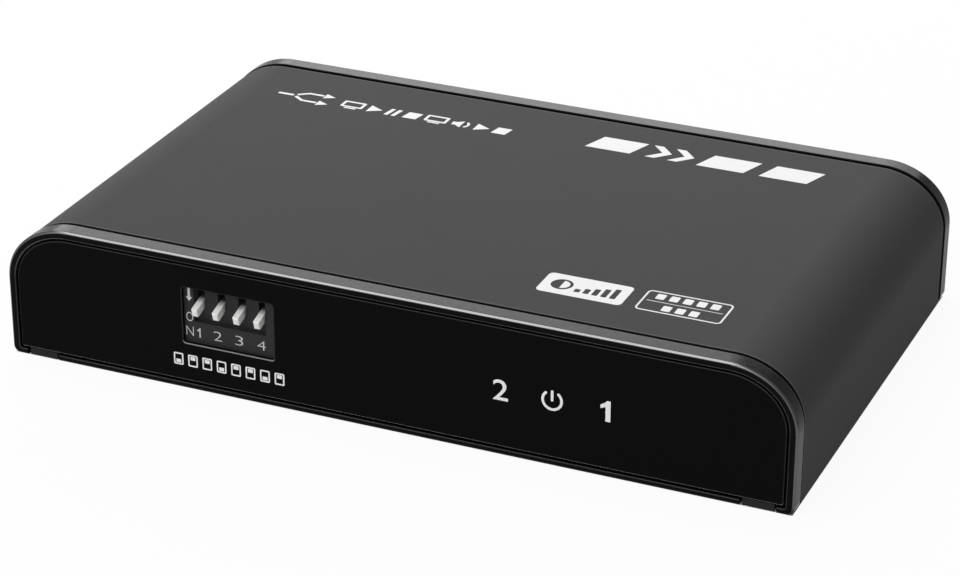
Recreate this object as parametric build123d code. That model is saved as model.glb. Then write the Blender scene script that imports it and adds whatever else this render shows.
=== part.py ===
from build123d import *
import os

# A one-in, two-out video splitter box. X runs to the right, Y from front to back and Z up.
# The origin is on the table, under the middle of the case. All lengths are in millimetres.

# Case outline, seen from the front: flat bottom, upright sides, a quarter ellipse at each top corner
case_width = 93.4
case_depth = 57.0
case_height = 16.4
corner_run = 7.9
corner_rise = 6.9
foot_round = 0.9

# Clearances that many pieces share
seam_gap = 0.40
fit_gap = 0.10
close_gap = 0.02
cut_margin = 1.0

# A quarter of a turn, in degrees
quarter_turn = 90

# Top cover: an arched shell, a hair smaller than the bezels, with four screw posts under its roof
cover_wall = 1.5
cover_step = 0.08
cover_lift = 0.35
cover_edge_round = 0.15
post_radius = 2.4
post_side_inset = 5.7
post_end_inset = 9.0
post_pilot_radius = 0.85
post_pilot_depth = 7.0

# Bezels: a rim around each panel, a ledge behind it and a lip that slides in under the cover
bezel_depth = 2.20
bezel_edge_round = 0.30
rim_width = 0.93
rim_edge_round = 0.14
rail_height = 0.70
lip_wall = 1.0
lip_length = 2.0
notch_width = 4.1
notch_height = 1.0
notch_inset = 1.9
catch_width = 8.0
catch_depth = 0.8
catch_drop = 0.5
catch_spacing_share = 0.47

# Front and rear panels: thin printed sheets that lie on the bezels' ledges
panel_thickness = 0.50
panel_recess = 0.05
panel_side_gap = 0.28
panel_bottom_gap = 0.33
panel_corner_round = 0.3
panel_edge_round = 0.14

# Base plate, which closes the case from below
base_thickness = 1.2
base_side_gap = 0.15
tab_width = 3.5
tab_thickness = 0.8
tab_setback = 0.2
tab_drop = 0.25
tab_root = 1.5
standoff_radius = 2.2
standoff_height = 1.75
standoff_pilot_radius = 0.80
standoff_pilot_depth = 2.3
label_width_share = 0.45
label_depth = 24.0
label_recess = 0.20
vent_width = 1.2
vent_length_share = 0.60
vent_pitch = 2.8
vent_count = 5
vent_offset_share = 0.64

# Screws that hold the base plate to the cover's posts
base_screw_head_radius = 1.9
base_screw_head_height = 0.95
base_screw_head_rim = 0.15
base_screw_shank_radius = 0.83
base_screw_length = 6.8
base_screw_hole_radius = 1.05
base_screw_seat_depth = 0.05
recess_length = 2.0
recess_width = 0.45
recess_depth = 0.55

# Screws that hold the board to the base plate's standoffs
board_screw_head_radius = 1.8
board_screw_head_height = 1.1
board_screw_head_round = 0.4
board_screw_shank_radius = 0.78
board_screw_bite = 2.0
board_screw_hole_radius = 1.05

# Main board
board_side_gap = 0.6
board_panel_gap = 2.35
board_thickness = 1.2
board_corner_round = 1.0
board_screw_side_inset = 3.5
board_screw_front_inset = 9.6
board_screw_rear_inset = 14.6
lead_length_below = 0.8
lead_hole_gap = 0.10

# Video sockets: one input and two outputs along the back, all the same
mouth_width = 14.0
mouth_height = 4.55
mouth_floor_width = 10.7
mouth_slant_height = 1.65
mouth_corner_round = 0.5
shell_sheet = 0.30
shell_length = 11.5
shell_lift = 0.40
shell_leg_width = 1.6
shell_leg_front = 5.4
shell_leg_spacing = 4.5
insert_depth = 2.9
tongue_width = 11.2
tongue_thickness = 1.5
tongue_setback = 1.1
contact_width = 0.30
contact_thickness = 0.15
contact_groove = 0.12
contact_pitch = 1.0
contact_tip_setback = 0.35
contact_foot_length = 0.8
upper_contact_reach = 1.5
lower_contact_reach = 0.7
upper_contact_count = 10
lower_contact_count = 9
cutout_gap = 0.15
connector_edge_gap = 1.4

# Power jack for a barrel plug, 5.5 mm outside and 2.1 mm inside
jack_width = 9.0
jack_height = 9.0
jack_length = 14.0
jack_nose_radius = 4.0
jack_bore_radius = 3.15
jack_bore_depth = 10.0
jack_pin_radius = 1.0
jack_pin_setback = 1.3
jack_pin_round = 0.4
jack_tail_width = 2.0
jack_tail_thickness = 0.4
jack_spring_width = 2.0
jack_spring_thickness = 0.3
jack_spring_setback = 2.5
jack_spring_length = 6.0
jack_spring_drop = 0.1

# Row of four piano-style switches, which stand out through the window in the front panel
window_width = 11.25
window_height = 6.85
window_centre_height = 9.1
window_corner_round = 0.3
window_edge_round = 0.15
switch_count = 4
switch_pitch = 2.54
switch_body_width = 12.2
switch_body_height = 8.8
switch_body_depth = 8.6
switch_face_gap = 0.05
trough_floor_height = 3.75
trough_height = 4.45
trough_depth = 0.6
trough_side_gap = 0.25
chamber_floor_height = 4.1
chamber_roof_wall = 0.6
chamber_rear_wall = 1.0
switch_side_wall = 0.9
pivot_setback = 2.9
pivot_height = 6.5
pivot_radius = 0.45
pivot_running_gap = 0.03
pivot_reach = 0.40
bearing_end_gap = 0.05
lever_width = 0.72
lever_thickness = 0.98
lever_side_gap = 0.12
lever_proud = 0.62
lever_tip_round = 0.14
lever_hub_radius = 1.0
lever_hub_gap = 0.15
lever_tail_length = 2.4
lever_tail_thickness = 0.84
lever_slot_gap = 0.10
terminal_width = 0.50
terminal_thickness = 0.25
terminal_row_pitch = 2.54
terminal_rear_inset = 1.56
leaf_thickness = 0.12
leaf_rise = 1.0
leaf_reach = 2.1
leaf_foot = 0.6
leaf_hook_drop = 0.35
leaf_hook_reach = 0.5

# How far each switch lever hangs below the level at rest, and how far above it goes, in degrees
lever_on_angle = 16.8
lever_off_angle = 12.5

# Three lights behind the front panel: output 2, power and output 1 from left to right
light_pitch = 6.05
light_height = 7.75
guide_width = 4.2
guide_window_height = 3.4
guide_panel_gap = 0.10
guide_arm_depth = 2.4
guide_reach = 5.2
guide_slant = 1.6
guide_peg_radius = 0.5
guide_peg_spacing = 3.0
led_width = 2.0
led_depth = 1.25
led_height = 0.8
led_notch_gap = 0.3

# Parts on the board
board_part_gap = 0.5
memory_shift = 2.0
regulator_pitch = 7.0
chip_part_row = 2.0
splitter_chip_side = 14.0
splitter_chip_height = 1.4
splitter_lead_count = 12
chip_lead_pitch = 1.0
chip_lead_width = 0.4
chip_lead_length = 1.0
chip_lead_thickness = 0.2
heat_pad_thickness = 0.4
heat_sink_side = 14.0
heat_sink_base = 1.2
heat_sink_height = 5.2
heat_sink_fin_count = 6
heat_sink_fin_width = 0.9
controller_side = 7.0
controller_height = 1.2
controller_lead_count = 6
memory_length = 4.9
memory_width = 3.9
memory_height = 1.5
memory_lead_count = 4
memory_lead_pitch = 1.27
memory_lead_length = 1.0
memory_lead_width = 0.4
memory_lead_thickness = 0.2
regulator_width = 6.5
regulator_depth = 3.5
regulator_height = 1.6
regulator_tab_width = 3.0
regulator_tab_length = 1.8
regulator_tab_thickness = 0.3
inductor_side = 6.0
inductor_height = 3.0
inductor_corner = 1.0
crystal_length = 11.0
crystal_width = 4.6
crystal_height = 3.6
crystal_edge_round = 1.0
bulk_capacitor_radius = 3.15
bulk_capacitor_height = 5.4
bulk_capacitor_base_side = 6.6
bulk_capacitor_base_height = 0.7
bulk_capacitor_edge_round = 0.3
bulk_capacitor_pitch = 7.0
chip_part_length = 1.6
chip_part_width = 0.8
small_capacitor_height = 0.8
small_resistor_height = 0.5

# Places from side to side, as shares of half the case's width
window_share = -0.4048
power_light_share = 0.4197

# Places from side to side, as shares of half the board's width
splitter_chip_share = 0.02
controller_share = -0.62
regulator_share = 0.62
inductor_share = 0.40
crystal_share = -0.12
bulk_capacitor_share = 0.87

# Small surface parts: the share from side to side, then the number of rows behind the main chip's middle
small_capacitor_shares = (
    (-0.36, -3), (-0.36, -1), (-0.36, 1), (-0.36, 3), (0.32, -3), (0.32, -2),
    (0.32, 2), (0.32, 3), (-0.62, 3), (-0.54, 3), (-0.62, -3), (-0.54, -3),
)
small_resistor_shares = (
    (-0.43, -3), (-0.43, -2), (-0.43, -1), (-0.43, 0), (-0.43, 1), (-0.43, 2),
    (-0.43, 3), (-0.70, 3), (-0.70, -3), (0.40, 3),
)

# Heights and depths that several pieces share, worked out from the sizes above
front_y = -case_depth / 2
ring_back_y = front_y + bezel_depth
cover_front_y = ring_back_y + seam_gap
cover_inside = cover_step + cover_wall
lip_inset = cover_inside + fit_gap
tunnel_inset = lip_inset + lip_wall
base_top = cover_lift + base_thickness
lip_bottom = base_top + fit_gap
tunnel_bottom = lip_bottom + lip_wall
panel_back_y = front_y + panel_recess + panel_thickness
board_width = case_width - 2 * (post_side_inset + post_radius + board_side_gap)
board_depth = 2 * (-panel_back_y - board_panel_gap)
board_bottom = base_top + standoff_height
board_top = board_bottom + board_thickness
lead_bottom = board_bottom - lead_length_below
mouth_y = case_depth / 2 - panel_recess
mouth_floor = board_top + shell_lift + shell_sheet
mouth_centre = mouth_floor + mouth_height / 2
shell_rear_y = mouth_y - shell_length
socket_width = mouth_width + 2 * shell_sheet
connector_room = board_width - 2 * connector_edge_gap - 3 * socket_width - jack_width
socket_pitch = socket_width + connector_room / 3
output_2_x = connector_edge_gap + socket_width / 2 - board_width / 2
socket_places = {
    "input": output_2_x + 2 * socket_pitch,
    "output_1": output_2_x + socket_pitch,
    "output_2": output_2_x,
}
jack_x = board_width / 2 - connector_edge_gap - jack_width / 2
jack_centre = board_top + jack_height / 2
window_x = window_share * case_width / 2
switch_face_y = panel_back_y + switch_face_gap
switch_rear_y = switch_face_y + switch_body_depth
chamber_rear_y = switch_rear_y - chamber_rear_wall
chamber_floor = board_top + chamber_floor_height
chamber_roof = board_top + switch_body_height - chamber_roof_wall
pivot_y = switch_face_y + pivot_setback
pivot_z = board_top + pivot_height
chamber_front_y = pivot_y - lever_hub_radius - lever_hub_gap
lever_places = [window_x + (index - (switch_count - 1) / 2) * switch_pitch for index in range(switch_count)]
terminal_rear_y = switch_rear_y - terminal_rear_inset
terminal_rows = [terminal_rear_y - terminal_row_pitch, terminal_rear_y]
power_light_x = power_light_share * case_width / 2
light_places = {
    "output_2": power_light_x - light_pitch,
    "power": power_light_x,
    "output_1": power_light_x + light_pitch,
}
memory_span = memory_width + 2 * memory_lead_length
splitter_chip_span = splitter_chip_side + 2 * chip_lead_length
memory_y = shell_rear_y - upper_contact_reach - contact_foot_length - board_part_gap - memory_span / 2
chip_y = memory_y - memory_span / 2 - board_part_gap - splitter_chip_span / 2
crystal_y = chip_y - splitter_chip_span / 2 - board_part_gap - crystal_width / 2


def block(x_range, y_range, z_range):
    """Box between two limits on each axis."""
    ranges = (x_range, y_range, z_range)
    centre = [(low + high) / 2 for low, high in ranges]
    size = [high - low for low, high in ranges]
    return Pos(*centre) * Box(*size)


def around(centre, width):
    """Low and high limits of a width about its centre."""
    return (centre - width / 2, centre + width / 2)


def upright(x, y, radius, bottom, top):
    """Round bar along Z."""
    return Pos(x, y, (bottom + top) / 2) * Cylinder(radius, top - bottom)


def crosswise(y, z, radius, x_range):
    """Round bar along X."""
    left, right = x_range
    return Pos((left + right) / 2, y, z) * Rot(0, quarter_turn, 0) * Cylinder(radius, right - left)


def lengthwise(x, z, radius, y_range):
    """Round bar along Y."""
    front, rear = y_range
    return Pos(x, (front + rear) / 2, z) * Rot(quarter_turn, 0, 0) * Cylinder(radius, rear - front)


def along_depth(outline, y_range):
    """Solid from an outline drawn in X and Z, between two places along Y."""
    front, rear = y_range
    section = Plane(origin=(0, rear, 0), x_dir=(1, 0, 0), z_dir=(0, -1, 0))
    return extrude(section * outline, rear - front)


def arch_outline(inset, bottom, foot=0):
    """The case's outline, drawn in by an inset at the sides and the top."""
    half = case_width / 2 - inset
    top = case_height - inset
    run = corner_run - inset
    rise = corner_rise - inset
    shoulder = top - rise
    edges = [
        Line((-half, bottom), (half, bottom)),
        Line((half, bottom), (half, shoulder)),
        EllipticalCenterArc((half - run, shoulder), run, rise, 0, arc_size=quarter_turn),
        Line((half - run, top), (run - half, top)),
        EllipticalCenterArc((run - half, shoulder), run, rise, quarter_turn, arc_size=quarter_turn),
        Line((-half, shoulder), (-half, bottom)),
    ]
    outline = make_face(edges)
    if foot > 0:
        outline = fillet(outline.vertices().group_by(Axis.Y)[0], foot)
    return outline


def post_places():
    """Where the base plate is screwed to the cover."""
    x = case_width / 2 - post_side_inset
    y = case_depth / 2 - post_end_inset
    return [(-x, -y), (x, -y), (-x, y), (x, y)]


def board_screw_places():
    """Where the board is screwed to the base plate."""
    x = board_width / 2 - board_screw_side_inset
    front = board_screw_front_inset - board_depth / 2
    rear = board_depth / 2 - board_screw_rear_inset
    return [(-x, front), (x, front), (-x, rear), (x, rear)]


def board_x(share):
    """A place from side to side, from its share of half the board's width."""
    return share * board_width / 2


def make_top_cover():
    """Arched shell over the top and both sides, open at the front, the back and below."""
    depth = (cover_front_y, -cover_front_y)
    shell = along_depth(arch_outline(cover_step, cover_lift), depth)
    ends = shell.faces().filter_by(Axis.Y)
    rims = [edge for end in ends for edge in end.edges() if edge.center().Z > cover_lift + cut_margin / 2]
    shell = fillet(rims, cover_edge_round)
    roof_middle = along_depth(arch_outline(cover_step + cover_wall / 2, base_top), depth)
    overrun = (cover_front_y - cut_margin, cut_margin - cover_front_y)
    shell -= along_depth(arch_outline(cover_inside, cover_lift - cut_margin), overrun)
    for x, y in post_places():
        post = upright(x, y, post_radius, base_top, case_height) & roof_middle
        shell += post
    for x, y in post_places():
        shell -= upright(x, y, post_pilot_radius, base_top - cut_margin, base_top + post_pilot_depth)
    return shell


def make_front_bezel():
    """Rim, ledge and lip of the front bezel, with two notches in its bottom rail."""
    ring = along_depth(arch_outline(0, 0, foot_round), (front_y, ring_back_y))
    ring = fillet(ring.faces().sort_by(Axis.Y)[0].edges(), bezel_edge_round)
    ring = fillet(ring.faces().sort_by(Axis.Y)[-1].edges(), cover_edge_round)
    seat = arch_outline(rim_width, rail_height, panel_corner_round)
    ring -= along_depth(seat, (front_y - cut_margin, panel_back_y))
    rim = ring.faces().filter_by(Axis.Y).sort_by(Axis.Y)[0]
    ring = fillet(rim.inner_wires()[0].edges(), rim_edge_round)
    lip_back_y = ring_back_y + lip_length
    lip = along_depth(arch_outline(lip_inset, lip_bottom), (ring_back_y - cut_margin, lip_back_y))
    inside = arch_outline(tunnel_inset, tunnel_bottom)
    tunnel = along_depth(inside, (front_y - cut_margin, lip_back_y + cut_margin))
    bezel = ring + lip - tunnel
    notch_centre = case_width / 2 - notch_inset - notch_width / 2
    for side in (-1, 1):
        opening = around(side * notch_centre, notch_width)
        bezel -= block(opening, (front_y - cut_margin, ring_back_y + cut_margin), (-cut_margin, notch_height))
    catch_y = lip_back_y - catch_depth
    for side in (-1, 1):
        width = around(side * catch_spacing_share * case_width / 2, catch_width)
        bezel += block(width, (catch_y, catch_y + catch_depth), (lip_bottom - catch_drop, lip_bottom))
    return bezel


def make_panel_sheet():
    """Blank front panel sheet."""
    outline = arch_outline(rim_width + panel_side_gap, rail_height + panel_bottom_gap, panel_corner_round)
    sheet = along_depth(outline, (front_y + panel_recess, panel_back_y))
    return fillet(sheet.faces().sort_by(Axis.Y)[0].edges(), panel_edge_round)


def make_front_panel():
    """Front panel sheet with the window for the switches."""
    window = fillet(Rectangle(window_width, window_height).vertices(), window_corner_round)
    opening = along_depth(
        Pos(window_x, window_centre_height) * window, (front_y - cut_margin, panel_back_y + cut_margin)
    )
    panel = make_panel_sheet() - opening
    face = panel.faces().filter_by(Axis.Y).sort_by(Axis.Y)[0]
    return fillet(face.inner_wires()[0].edges(), window_edge_round)


def mouth_outline(growth=0):
    """Outline of a video socket's mouth, about its middle: square above, slanting in below."""
    half = mouth_width / 2
    floor_half = mouth_floor_width / 2
    top = mouth_height / 2
    slant = mouth_slant_height - top
    right_corners = [(half, top), (half, slant), (floor_half, -top)]
    left_corners = [(-x, z) for x, z in reversed(right_corners)]
    outline = make_face(Polyline(*right_corners, *left_corners, close=True))
    outline = fillet(outline.vertices(), mouth_corner_round)
    if growth:
        outline = offset(outline, amount=growth)
    return outline


def make_rear_panel():
    """Rear panel sheet with a cut-out for each socket and for the power jack."""
    panel = mirror(make_panel_sheet(), about=Plane.XZ)
    through = (-panel_back_y - cut_margin, case_depth / 2 + cut_margin)
    for x in socket_places.values():
        cutout = Pos(x, mouth_centre) * mouth_outline(shell_sheet + cutout_gap)
        panel -= along_depth(cutout, through)
    panel -= lengthwise(jack_x, jack_centre, jack_nose_radius + cutout_gap, through)
    return panel


def make_base_plate():
    """Plate that closes the case from below, with tabs, standoffs, screw holes and vents."""
    half = case_width / 2 - cover_inside - base_side_gap
    plate = block((-half, half), (cover_front_y, -cover_front_y), (cover_lift, base_top))
    tab_centre = case_width / 2 - notch_inset - notch_width / 2
    tab_bottom = cover_lift - tab_drop
    reach = case_depth / 2 - tab_setback
    for side in (-1, 1):
        for end in (-1, 1):
            depth = sorted((end * reach, end * (-cover_front_y - tab_root)))
            width = around(side * tab_centre, tab_width)
            plate += block(width, depth, (tab_bottom, tab_bottom + tab_thickness))
    for x, y in board_screw_places():
        plate += upright(x, y, standoff_radius, base_top, board_bottom)
    for x, y in board_screw_places():
        pilot_bottom = board_bottom - standoff_pilot_depth
        plate -= upright(x, y, standoff_pilot_radius, pilot_bottom, board_bottom + cut_margin)
    seat_top = cover_lift + base_screw_seat_depth + base_screw_head_height + close_gap
    for x, y in post_places():
        plate -= upright(x, y, base_screw_hole_radius, cover_lift - cut_margin, base_top + cut_margin)
        plate -= base_screw_head(x, y, close_gap, cover_lift - cut_margin, seat_top)
    slot_y = ring_back_y + lip_length - catch_depth / 2
    for side in (-1, 1):
        width = around(side * catch_spacing_share * case_width / 2, catch_width + 2 * fit_gap)
        for end in (-1, 1):
            depth = around(end * slot_y, catch_depth + 2 * fit_gap)
            plate -= block(width, depth, (lip_bottom - catch_drop - fit_gap, base_top + cut_margin))
    below = (cover_lift - cut_margin, cover_lift + label_recess)
    plate -= block(around(0, label_width_share * case_width), around(0, label_depth), below)
    rows = [y for x, y in board_screw_places()]
    vent_y = (max(rows) + min(rows)) / 2
    vent_length = vent_length_share * (max(rows) - min(rows))
    for side in (-1, 1):
        for index in range(vent_count):
            x = side * vent_offset_share * case_width / 2 + (index - (vent_count - 1) / 2) * vent_pitch
            slot = Pos(x, vent_y) * SlotOverall(vent_length, vent_width, rotation=quarter_turn)
            plate -= Pos(0, 0, cover_lift - cut_margin) * extrude(slot, base_thickness + 2 * cut_margin)
    return plate


def base_screw_head(x, y, growth, bottom, top):
    """Countersunk head: a short rim, then a cone that narrows to the shank at the top."""
    rim_top = top - base_screw_head_height + base_screw_head_rim
    rim = upright(x, y, base_screw_head_radius + growth, bottom, rim_top)
    cone_height = top - rim_top
    cone = Cone(base_screw_head_radius + growth, base_screw_shank_radius + growth, cone_height)
    return rim + Pos(x, y, rim_top + cone_height / 2) * cone


def make_base_screws():
    """Four countersunk screws, driven up through the base plate into the cover's posts."""
    bottom = cover_lift + base_screw_seat_depth
    screws = []
    for x, y in post_places():
        screw = base_screw_head(x, y, 0, bottom, bottom + base_screw_head_height)
        shank_bottom = bottom + base_screw_head_rim
        screw += upright(x, y, base_screw_shank_radius, shank_bottom, bottom + base_screw_length)
        recess = (bottom - cut_margin, bottom + recess_depth)
        screw -= block(around(x, recess_length), around(y, recess_width), recess)
        screw -= block(around(x, recess_width), around(y, recess_length), recess)
        screws.append(screw)
    return Compound(children=screws)


def make_board_screws():
    """Four pan head screws, driven down through the board into the standoffs."""
    screws = []
    head_top = board_top + board_screw_head_height
    recess = (head_top - recess_depth, head_top + cut_margin)
    for x, y in board_screw_places():
        head = upright(x, y, board_screw_head_radius, board_top, head_top)
        head = fillet(head.faces().sort_by(Axis.Z)[-1].edges(), board_screw_head_round)
        screw = head + upright(x, y, board_screw_shank_radius, board_bottom - board_screw_bite, board_top)
        screw -= block(around(x, recess_length), around(y, recess_width), recess)
        screw -= block(around(x, recess_width), around(y, recess_length), recess)
        screws.append(screw)
    return Compound(children=screws)


def shell_legs(x, growth=0):
    """Four flat legs that carry a socket's shell, two on each side, down through the board."""
    half = mouth_width / 2
    legs = []
    for side in (-1, 1):
        inner, outer = sorted((side * half, side * (half + shell_sheet)))
        for place in range(2):
            y = mouth_y - shell_leg_front - place * shell_leg_spacing
            legs.append(
                block(
                    (x + inner - growth, x + outer + growth),
                    around(y, shell_leg_width + 2 * growth),
                    (lead_bottom, mouth_centre),
                )
            )
    return legs


def make_main_board():
    """Printed circuit board with a hole for each screw, lead and peg."""
    outline = fillet(Rectangle(board_width, board_depth).vertices(), board_corner_round)
    board = Pos(0, 0, board_bottom) * extrude(outline, board_thickness)
    through = (board_bottom - cut_margin, board_top + cut_margin)
    for x, y in board_screw_places():
        board -= upright(x, y, board_screw_hole_radius, *through)
    for x in socket_places.values():
        board -= shell_legs(x, lead_hole_gap)
    for x in lever_places:
        for y in terminal_rows:
            width = around(x, terminal_width + 2 * lead_hole_gap)
            board -= block(width, around(y, terminal_thickness + 2 * lead_hole_gap), through)
    for x in light_places.values():
        for side in (-1, 1):
            peg_x = x + side * guide_peg_spacing / 2
            board -= upright(peg_x, guide_arm_y(), guide_peg_radius + lead_hole_gap, *through)
    tail_width = around(jack_x, jack_tail_width + 2 * lead_hole_gap)
    for rear, front in (jack_pin_tail_y(), jack_spring_tail_y()):
        board -= block(tail_width, (rear - lead_hole_gap, front + lead_hole_gap), through)
    return board


def make_socket_shell(x):
    """Folded sheet metal shell of a video socket."""
    outer = along_depth(Pos(x, mouth_centre) * mouth_outline(shell_sheet), (shell_rear_y, mouth_y))
    through = (shell_rear_y - cut_margin, mouth_y + cut_margin)
    inner = along_depth(Pos(x, mouth_centre) * mouth_outline(), through)
    return outer + shell_legs(x) - inner


def contact_rows():
    """Both rows of contacts: count, side of the tongue and how far the tails reach behind the shell."""
    return (
        (upper_contact_count, 1, upper_contact_reach),
        (lower_contact_count, -1, lower_contact_reach),
    )


def socket_contact(x, side, reach):
    """One contact: a strip along the tongue, a drop behind the shell and a foot on the board."""
    surface = mouth_centre + side * (tongue_thickness / 2 - contact_groove)
    low, high = sorted((surface, surface + side * contact_thickness))
    tip_y = mouth_y - tongue_setback - contact_tip_setback
    drop_y = shell_rear_y - reach
    width = around(x, contact_width)
    strip = block(width, (drop_y, tip_y), (low, high))
    drop = block(width, (drop_y, drop_y + contact_thickness), (board_top, high))
    foot = block(width, (drop_y - contact_foot_length, drop_y), (board_top, board_top + contact_thickness))
    return strip + drop + foot


def make_socket_contacts(x):
    """Nineteen contacts in two rows, half a pitch apart."""
    contacts = []
    for count, side, reach in contact_rows():
        for index in range(count):
            place = x + (index - (count - 1) / 2) * contact_pitch
            contacts.append(socket_contact(place, side, reach))
    return Compound(children=contacts)


def make_socket_insert(x):
    """Moulded insert that fills the back of the shell and carries the tongue."""
    fill = Pos(x, mouth_centre) * mouth_outline(-close_gap)
    insert = along_depth(fill, (shell_rear_y, shell_rear_y + insert_depth))
    tongue_reach = (shell_rear_y + insert_depth, mouth_y - tongue_setback)
    insert += block(around(x, tongue_width), tongue_reach, around(mouth_centre, tongue_thickness))
    for count, side, reach in contact_rows():
        surface = mouth_centre + side * (tongue_thickness / 2 - contact_groove)
        low, high = sorted((surface - side * close_gap, surface + side * (contact_thickness + close_gap)))
        groove_y = (shell_rear_y - cut_margin, mouth_y - tongue_setback - contact_tip_setback + close_gap)
        for index in range(count):
            place = x + (index - (count - 1) / 2) * contact_pitch
            insert -= block(around(place, contact_width + 2 * close_gap), groove_y, (low, high))
    return insert


def jack_pin_tail_y():
    """Where the centre pin's tail lies, just behind the jack."""
    rear = mouth_y - jack_length
    return (rear - jack_tail_thickness, rear)


def jack_spring_tail_y():
    """Where the spring's tail goes down through the jack and the board."""
    rear = mouth_y - jack_spring_setback - jack_spring_length
    return (rear, rear + jack_spring_thickness)


def make_jack_housing():
    """Moulded body of the power jack, with a round nose through the rear panel."""
    block_front = -panel_back_y - fit_gap
    rear_y = mouth_y - jack_length
    housing = block(around(jack_x, jack_width), (rear_y, block_front), (board_top, board_top + jack_height))
    housing += lengthwise(jack_x, jack_centre, jack_nose_radius, (rear_y + cut_margin, mouth_y))
    bore = (mouth_y - jack_bore_depth, mouth_y + cut_margin)
    housing -= lengthwise(jack_x, jack_centre, jack_bore_radius, bore)
    housing -= lengthwise(jack_x, jack_centre, jack_pin_radius + close_gap, (rear_y - cut_margin, mouth_y))
    channel_floor = jack_centre - jack_bore_radius - jack_spring_drop - jack_spring_thickness
    tail_rear, tail_front = jack_spring_tail_y()
    width = around(jack_x, jack_spring_width + 2 * close_gap)
    channel_y = (tail_rear - close_gap, mouth_y - jack_spring_setback + close_gap)
    housing -= block(width, channel_y, (channel_floor, jack_centre))
    tail_y = (tail_rear - close_gap, tail_front + close_gap)
    housing -= block(width, tail_y, (board_top - cut_margin, jack_centre))
    return housing


def make_jack_pin():
    """Centre pin of the power jack, with its flat tail."""
    rear_y = mouth_y - jack_length
    tip_y = mouth_y - jack_pin_setback
    pin = lengthwise(jack_x, jack_centre, jack_pin_radius, (rear_y - jack_tail_thickness, tip_y))
    pin = fillet(pin.faces().sort_by(Axis.Y)[-1].edges(), jack_pin_round)
    pin += block(around(jack_x, jack_tail_width), jack_pin_tail_y(), (lead_bottom, jack_centre))
    return pin


def make_jack_spring():
    """Flat spring under the plug's barrel, with its tail."""
    floor = jack_centre - jack_bore_radius - jack_spring_drop - jack_spring_thickness
    tail = jack_spring_tail_y()
    width = around(jack_x, jack_spring_width)
    strip = block(width, (tail[0], mouth_y - jack_spring_setback), (floor, floor + jack_spring_thickness))
    return strip + block(width, tail, (lead_bottom, floor + jack_spring_thickness))


def make_switch_housing():
    """Black front shell of the switch row: one trough in its face, and a chamber for each lever."""
    width = around(window_x, switch_body_width)
    housing = block(width, (switch_face_y, switch_rear_y), (board_top, board_top + switch_body_height))
    trough_floor = board_top + trough_floor_height
    trough_half = (switch_count - 1) / 2 * switch_pitch + lever_width / 2 + trough_side_gap
    trough_back = switch_face_y + trough_depth
    housing -= block(
        (window_x - trough_half, window_x + trough_half),
        (switch_face_y - cut_margin, trough_back),
        (trough_floor, trough_floor + trough_height),
    )
    cavity_half = switch_body_width / 2 - switch_side_wall
    housing -= block(
        (window_x - cavity_half, window_x + cavity_half),
        (chamber_front_y, chamber_rear_y),
        (board_top - cut_margin, chamber_floor),
    )
    slot_low, slot_high = lever_slot_heights()
    chamber_half = lever_width / 2 + lever_side_gap
    bearing_half = chamber_half + pivot_reach + bearing_end_gap
    for x in lever_places:
        chamber = (x - chamber_half, x + chamber_half)
        chamber_z = (chamber_floor - cut_margin, chamber_roof)
        housing -= block(chamber, (chamber_front_y, chamber_rear_y), chamber_z)
        housing -= block(chamber, (switch_face_y, pivot_y), (slot_low, slot_high))
        bearing = (x - bearing_half, x + bearing_half)
        housing -= crosswise(pivot_y, pivot_z, pivot_radius + pivot_running_gap, bearing)
    return housing


def lever_slot_heights():
    """Lowest and highest place that a lever reaches where it passes through the trough's back wall."""
    arm = Vector(0, trough_depth - pivot_setback, 0)
    edge = Vector(0, 0, lever_thickness / 2)
    low = (arm - edge).rotate(Axis.X, lever_on_angle).Z
    high = (arm + edge).rotate(Axis.X, -lever_off_angle).Z
    return (pivot_z + low - lever_slot_gap, pivot_z + high + lever_slot_gap)


def make_lever(x):
    """One switch lever: a square peg in front, a round hub on two stub pins and a tail behind."""
    reach = pivot_y - front_y + lever_proud
    half = lever_width / 2
    width = (-half, half)
    thickness = (-lever_thickness / 2, lever_thickness / 2)
    peg = block(width, (-reach, 0), thickness)
    peg = fillet(peg.faces().sort_by(Axis.Y)[0].edges(), lever_tip_round)
    hub = crosswise(0, 0, lever_hub_radius, width)
    tail_half = lever_tail_thickness / 2
    tail = block(width, (0, lever_tail_length - tail_half), (-tail_half, tail_half))
    tail += crosswise(lever_tail_length - tail_half, 0, tail_half, width)
    pin_half = half + lever_side_gap + pivot_reach
    pins = crosswise(0, 0, pivot_radius, (-pin_half, pin_half))
    return Pos(x, pivot_y, pivot_z) * Rot(lever_on_angle, 0, 0) * (peg + hub + tail + pins)


def make_switch_base():
    """Block that closes the switch housing from below and holds the terminals."""
    half = switch_body_width / 2 - switch_side_wall - fit_gap / 2
    base = block(
        (window_x - half, window_x + half),
        (chamber_front_y + fit_gap / 2, chamber_rear_y - fit_gap / 2),
        (board_top, chamber_floor - close_gap),
    )
    for x in lever_places:
        for y in terminal_rows:
            width = around(x, terminal_width + 2 * close_gap)
            depth = around(y, terminal_thickness + 2 * close_gap)
            base -= block(width, depth, (board_top - cut_margin, chamber_floor + cut_margin))
    return base


def make_switch_terminals():
    """Eight terminals, two under each lever, down through the board."""
    pins = []
    for x in lever_places:
        for y in terminal_rows:
            height = (lead_bottom, chamber_floor - close_gap)
            pins.append(block(around(x, terminal_width), around(y, terminal_thickness), height))
    return Compound(children=pins)


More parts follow.
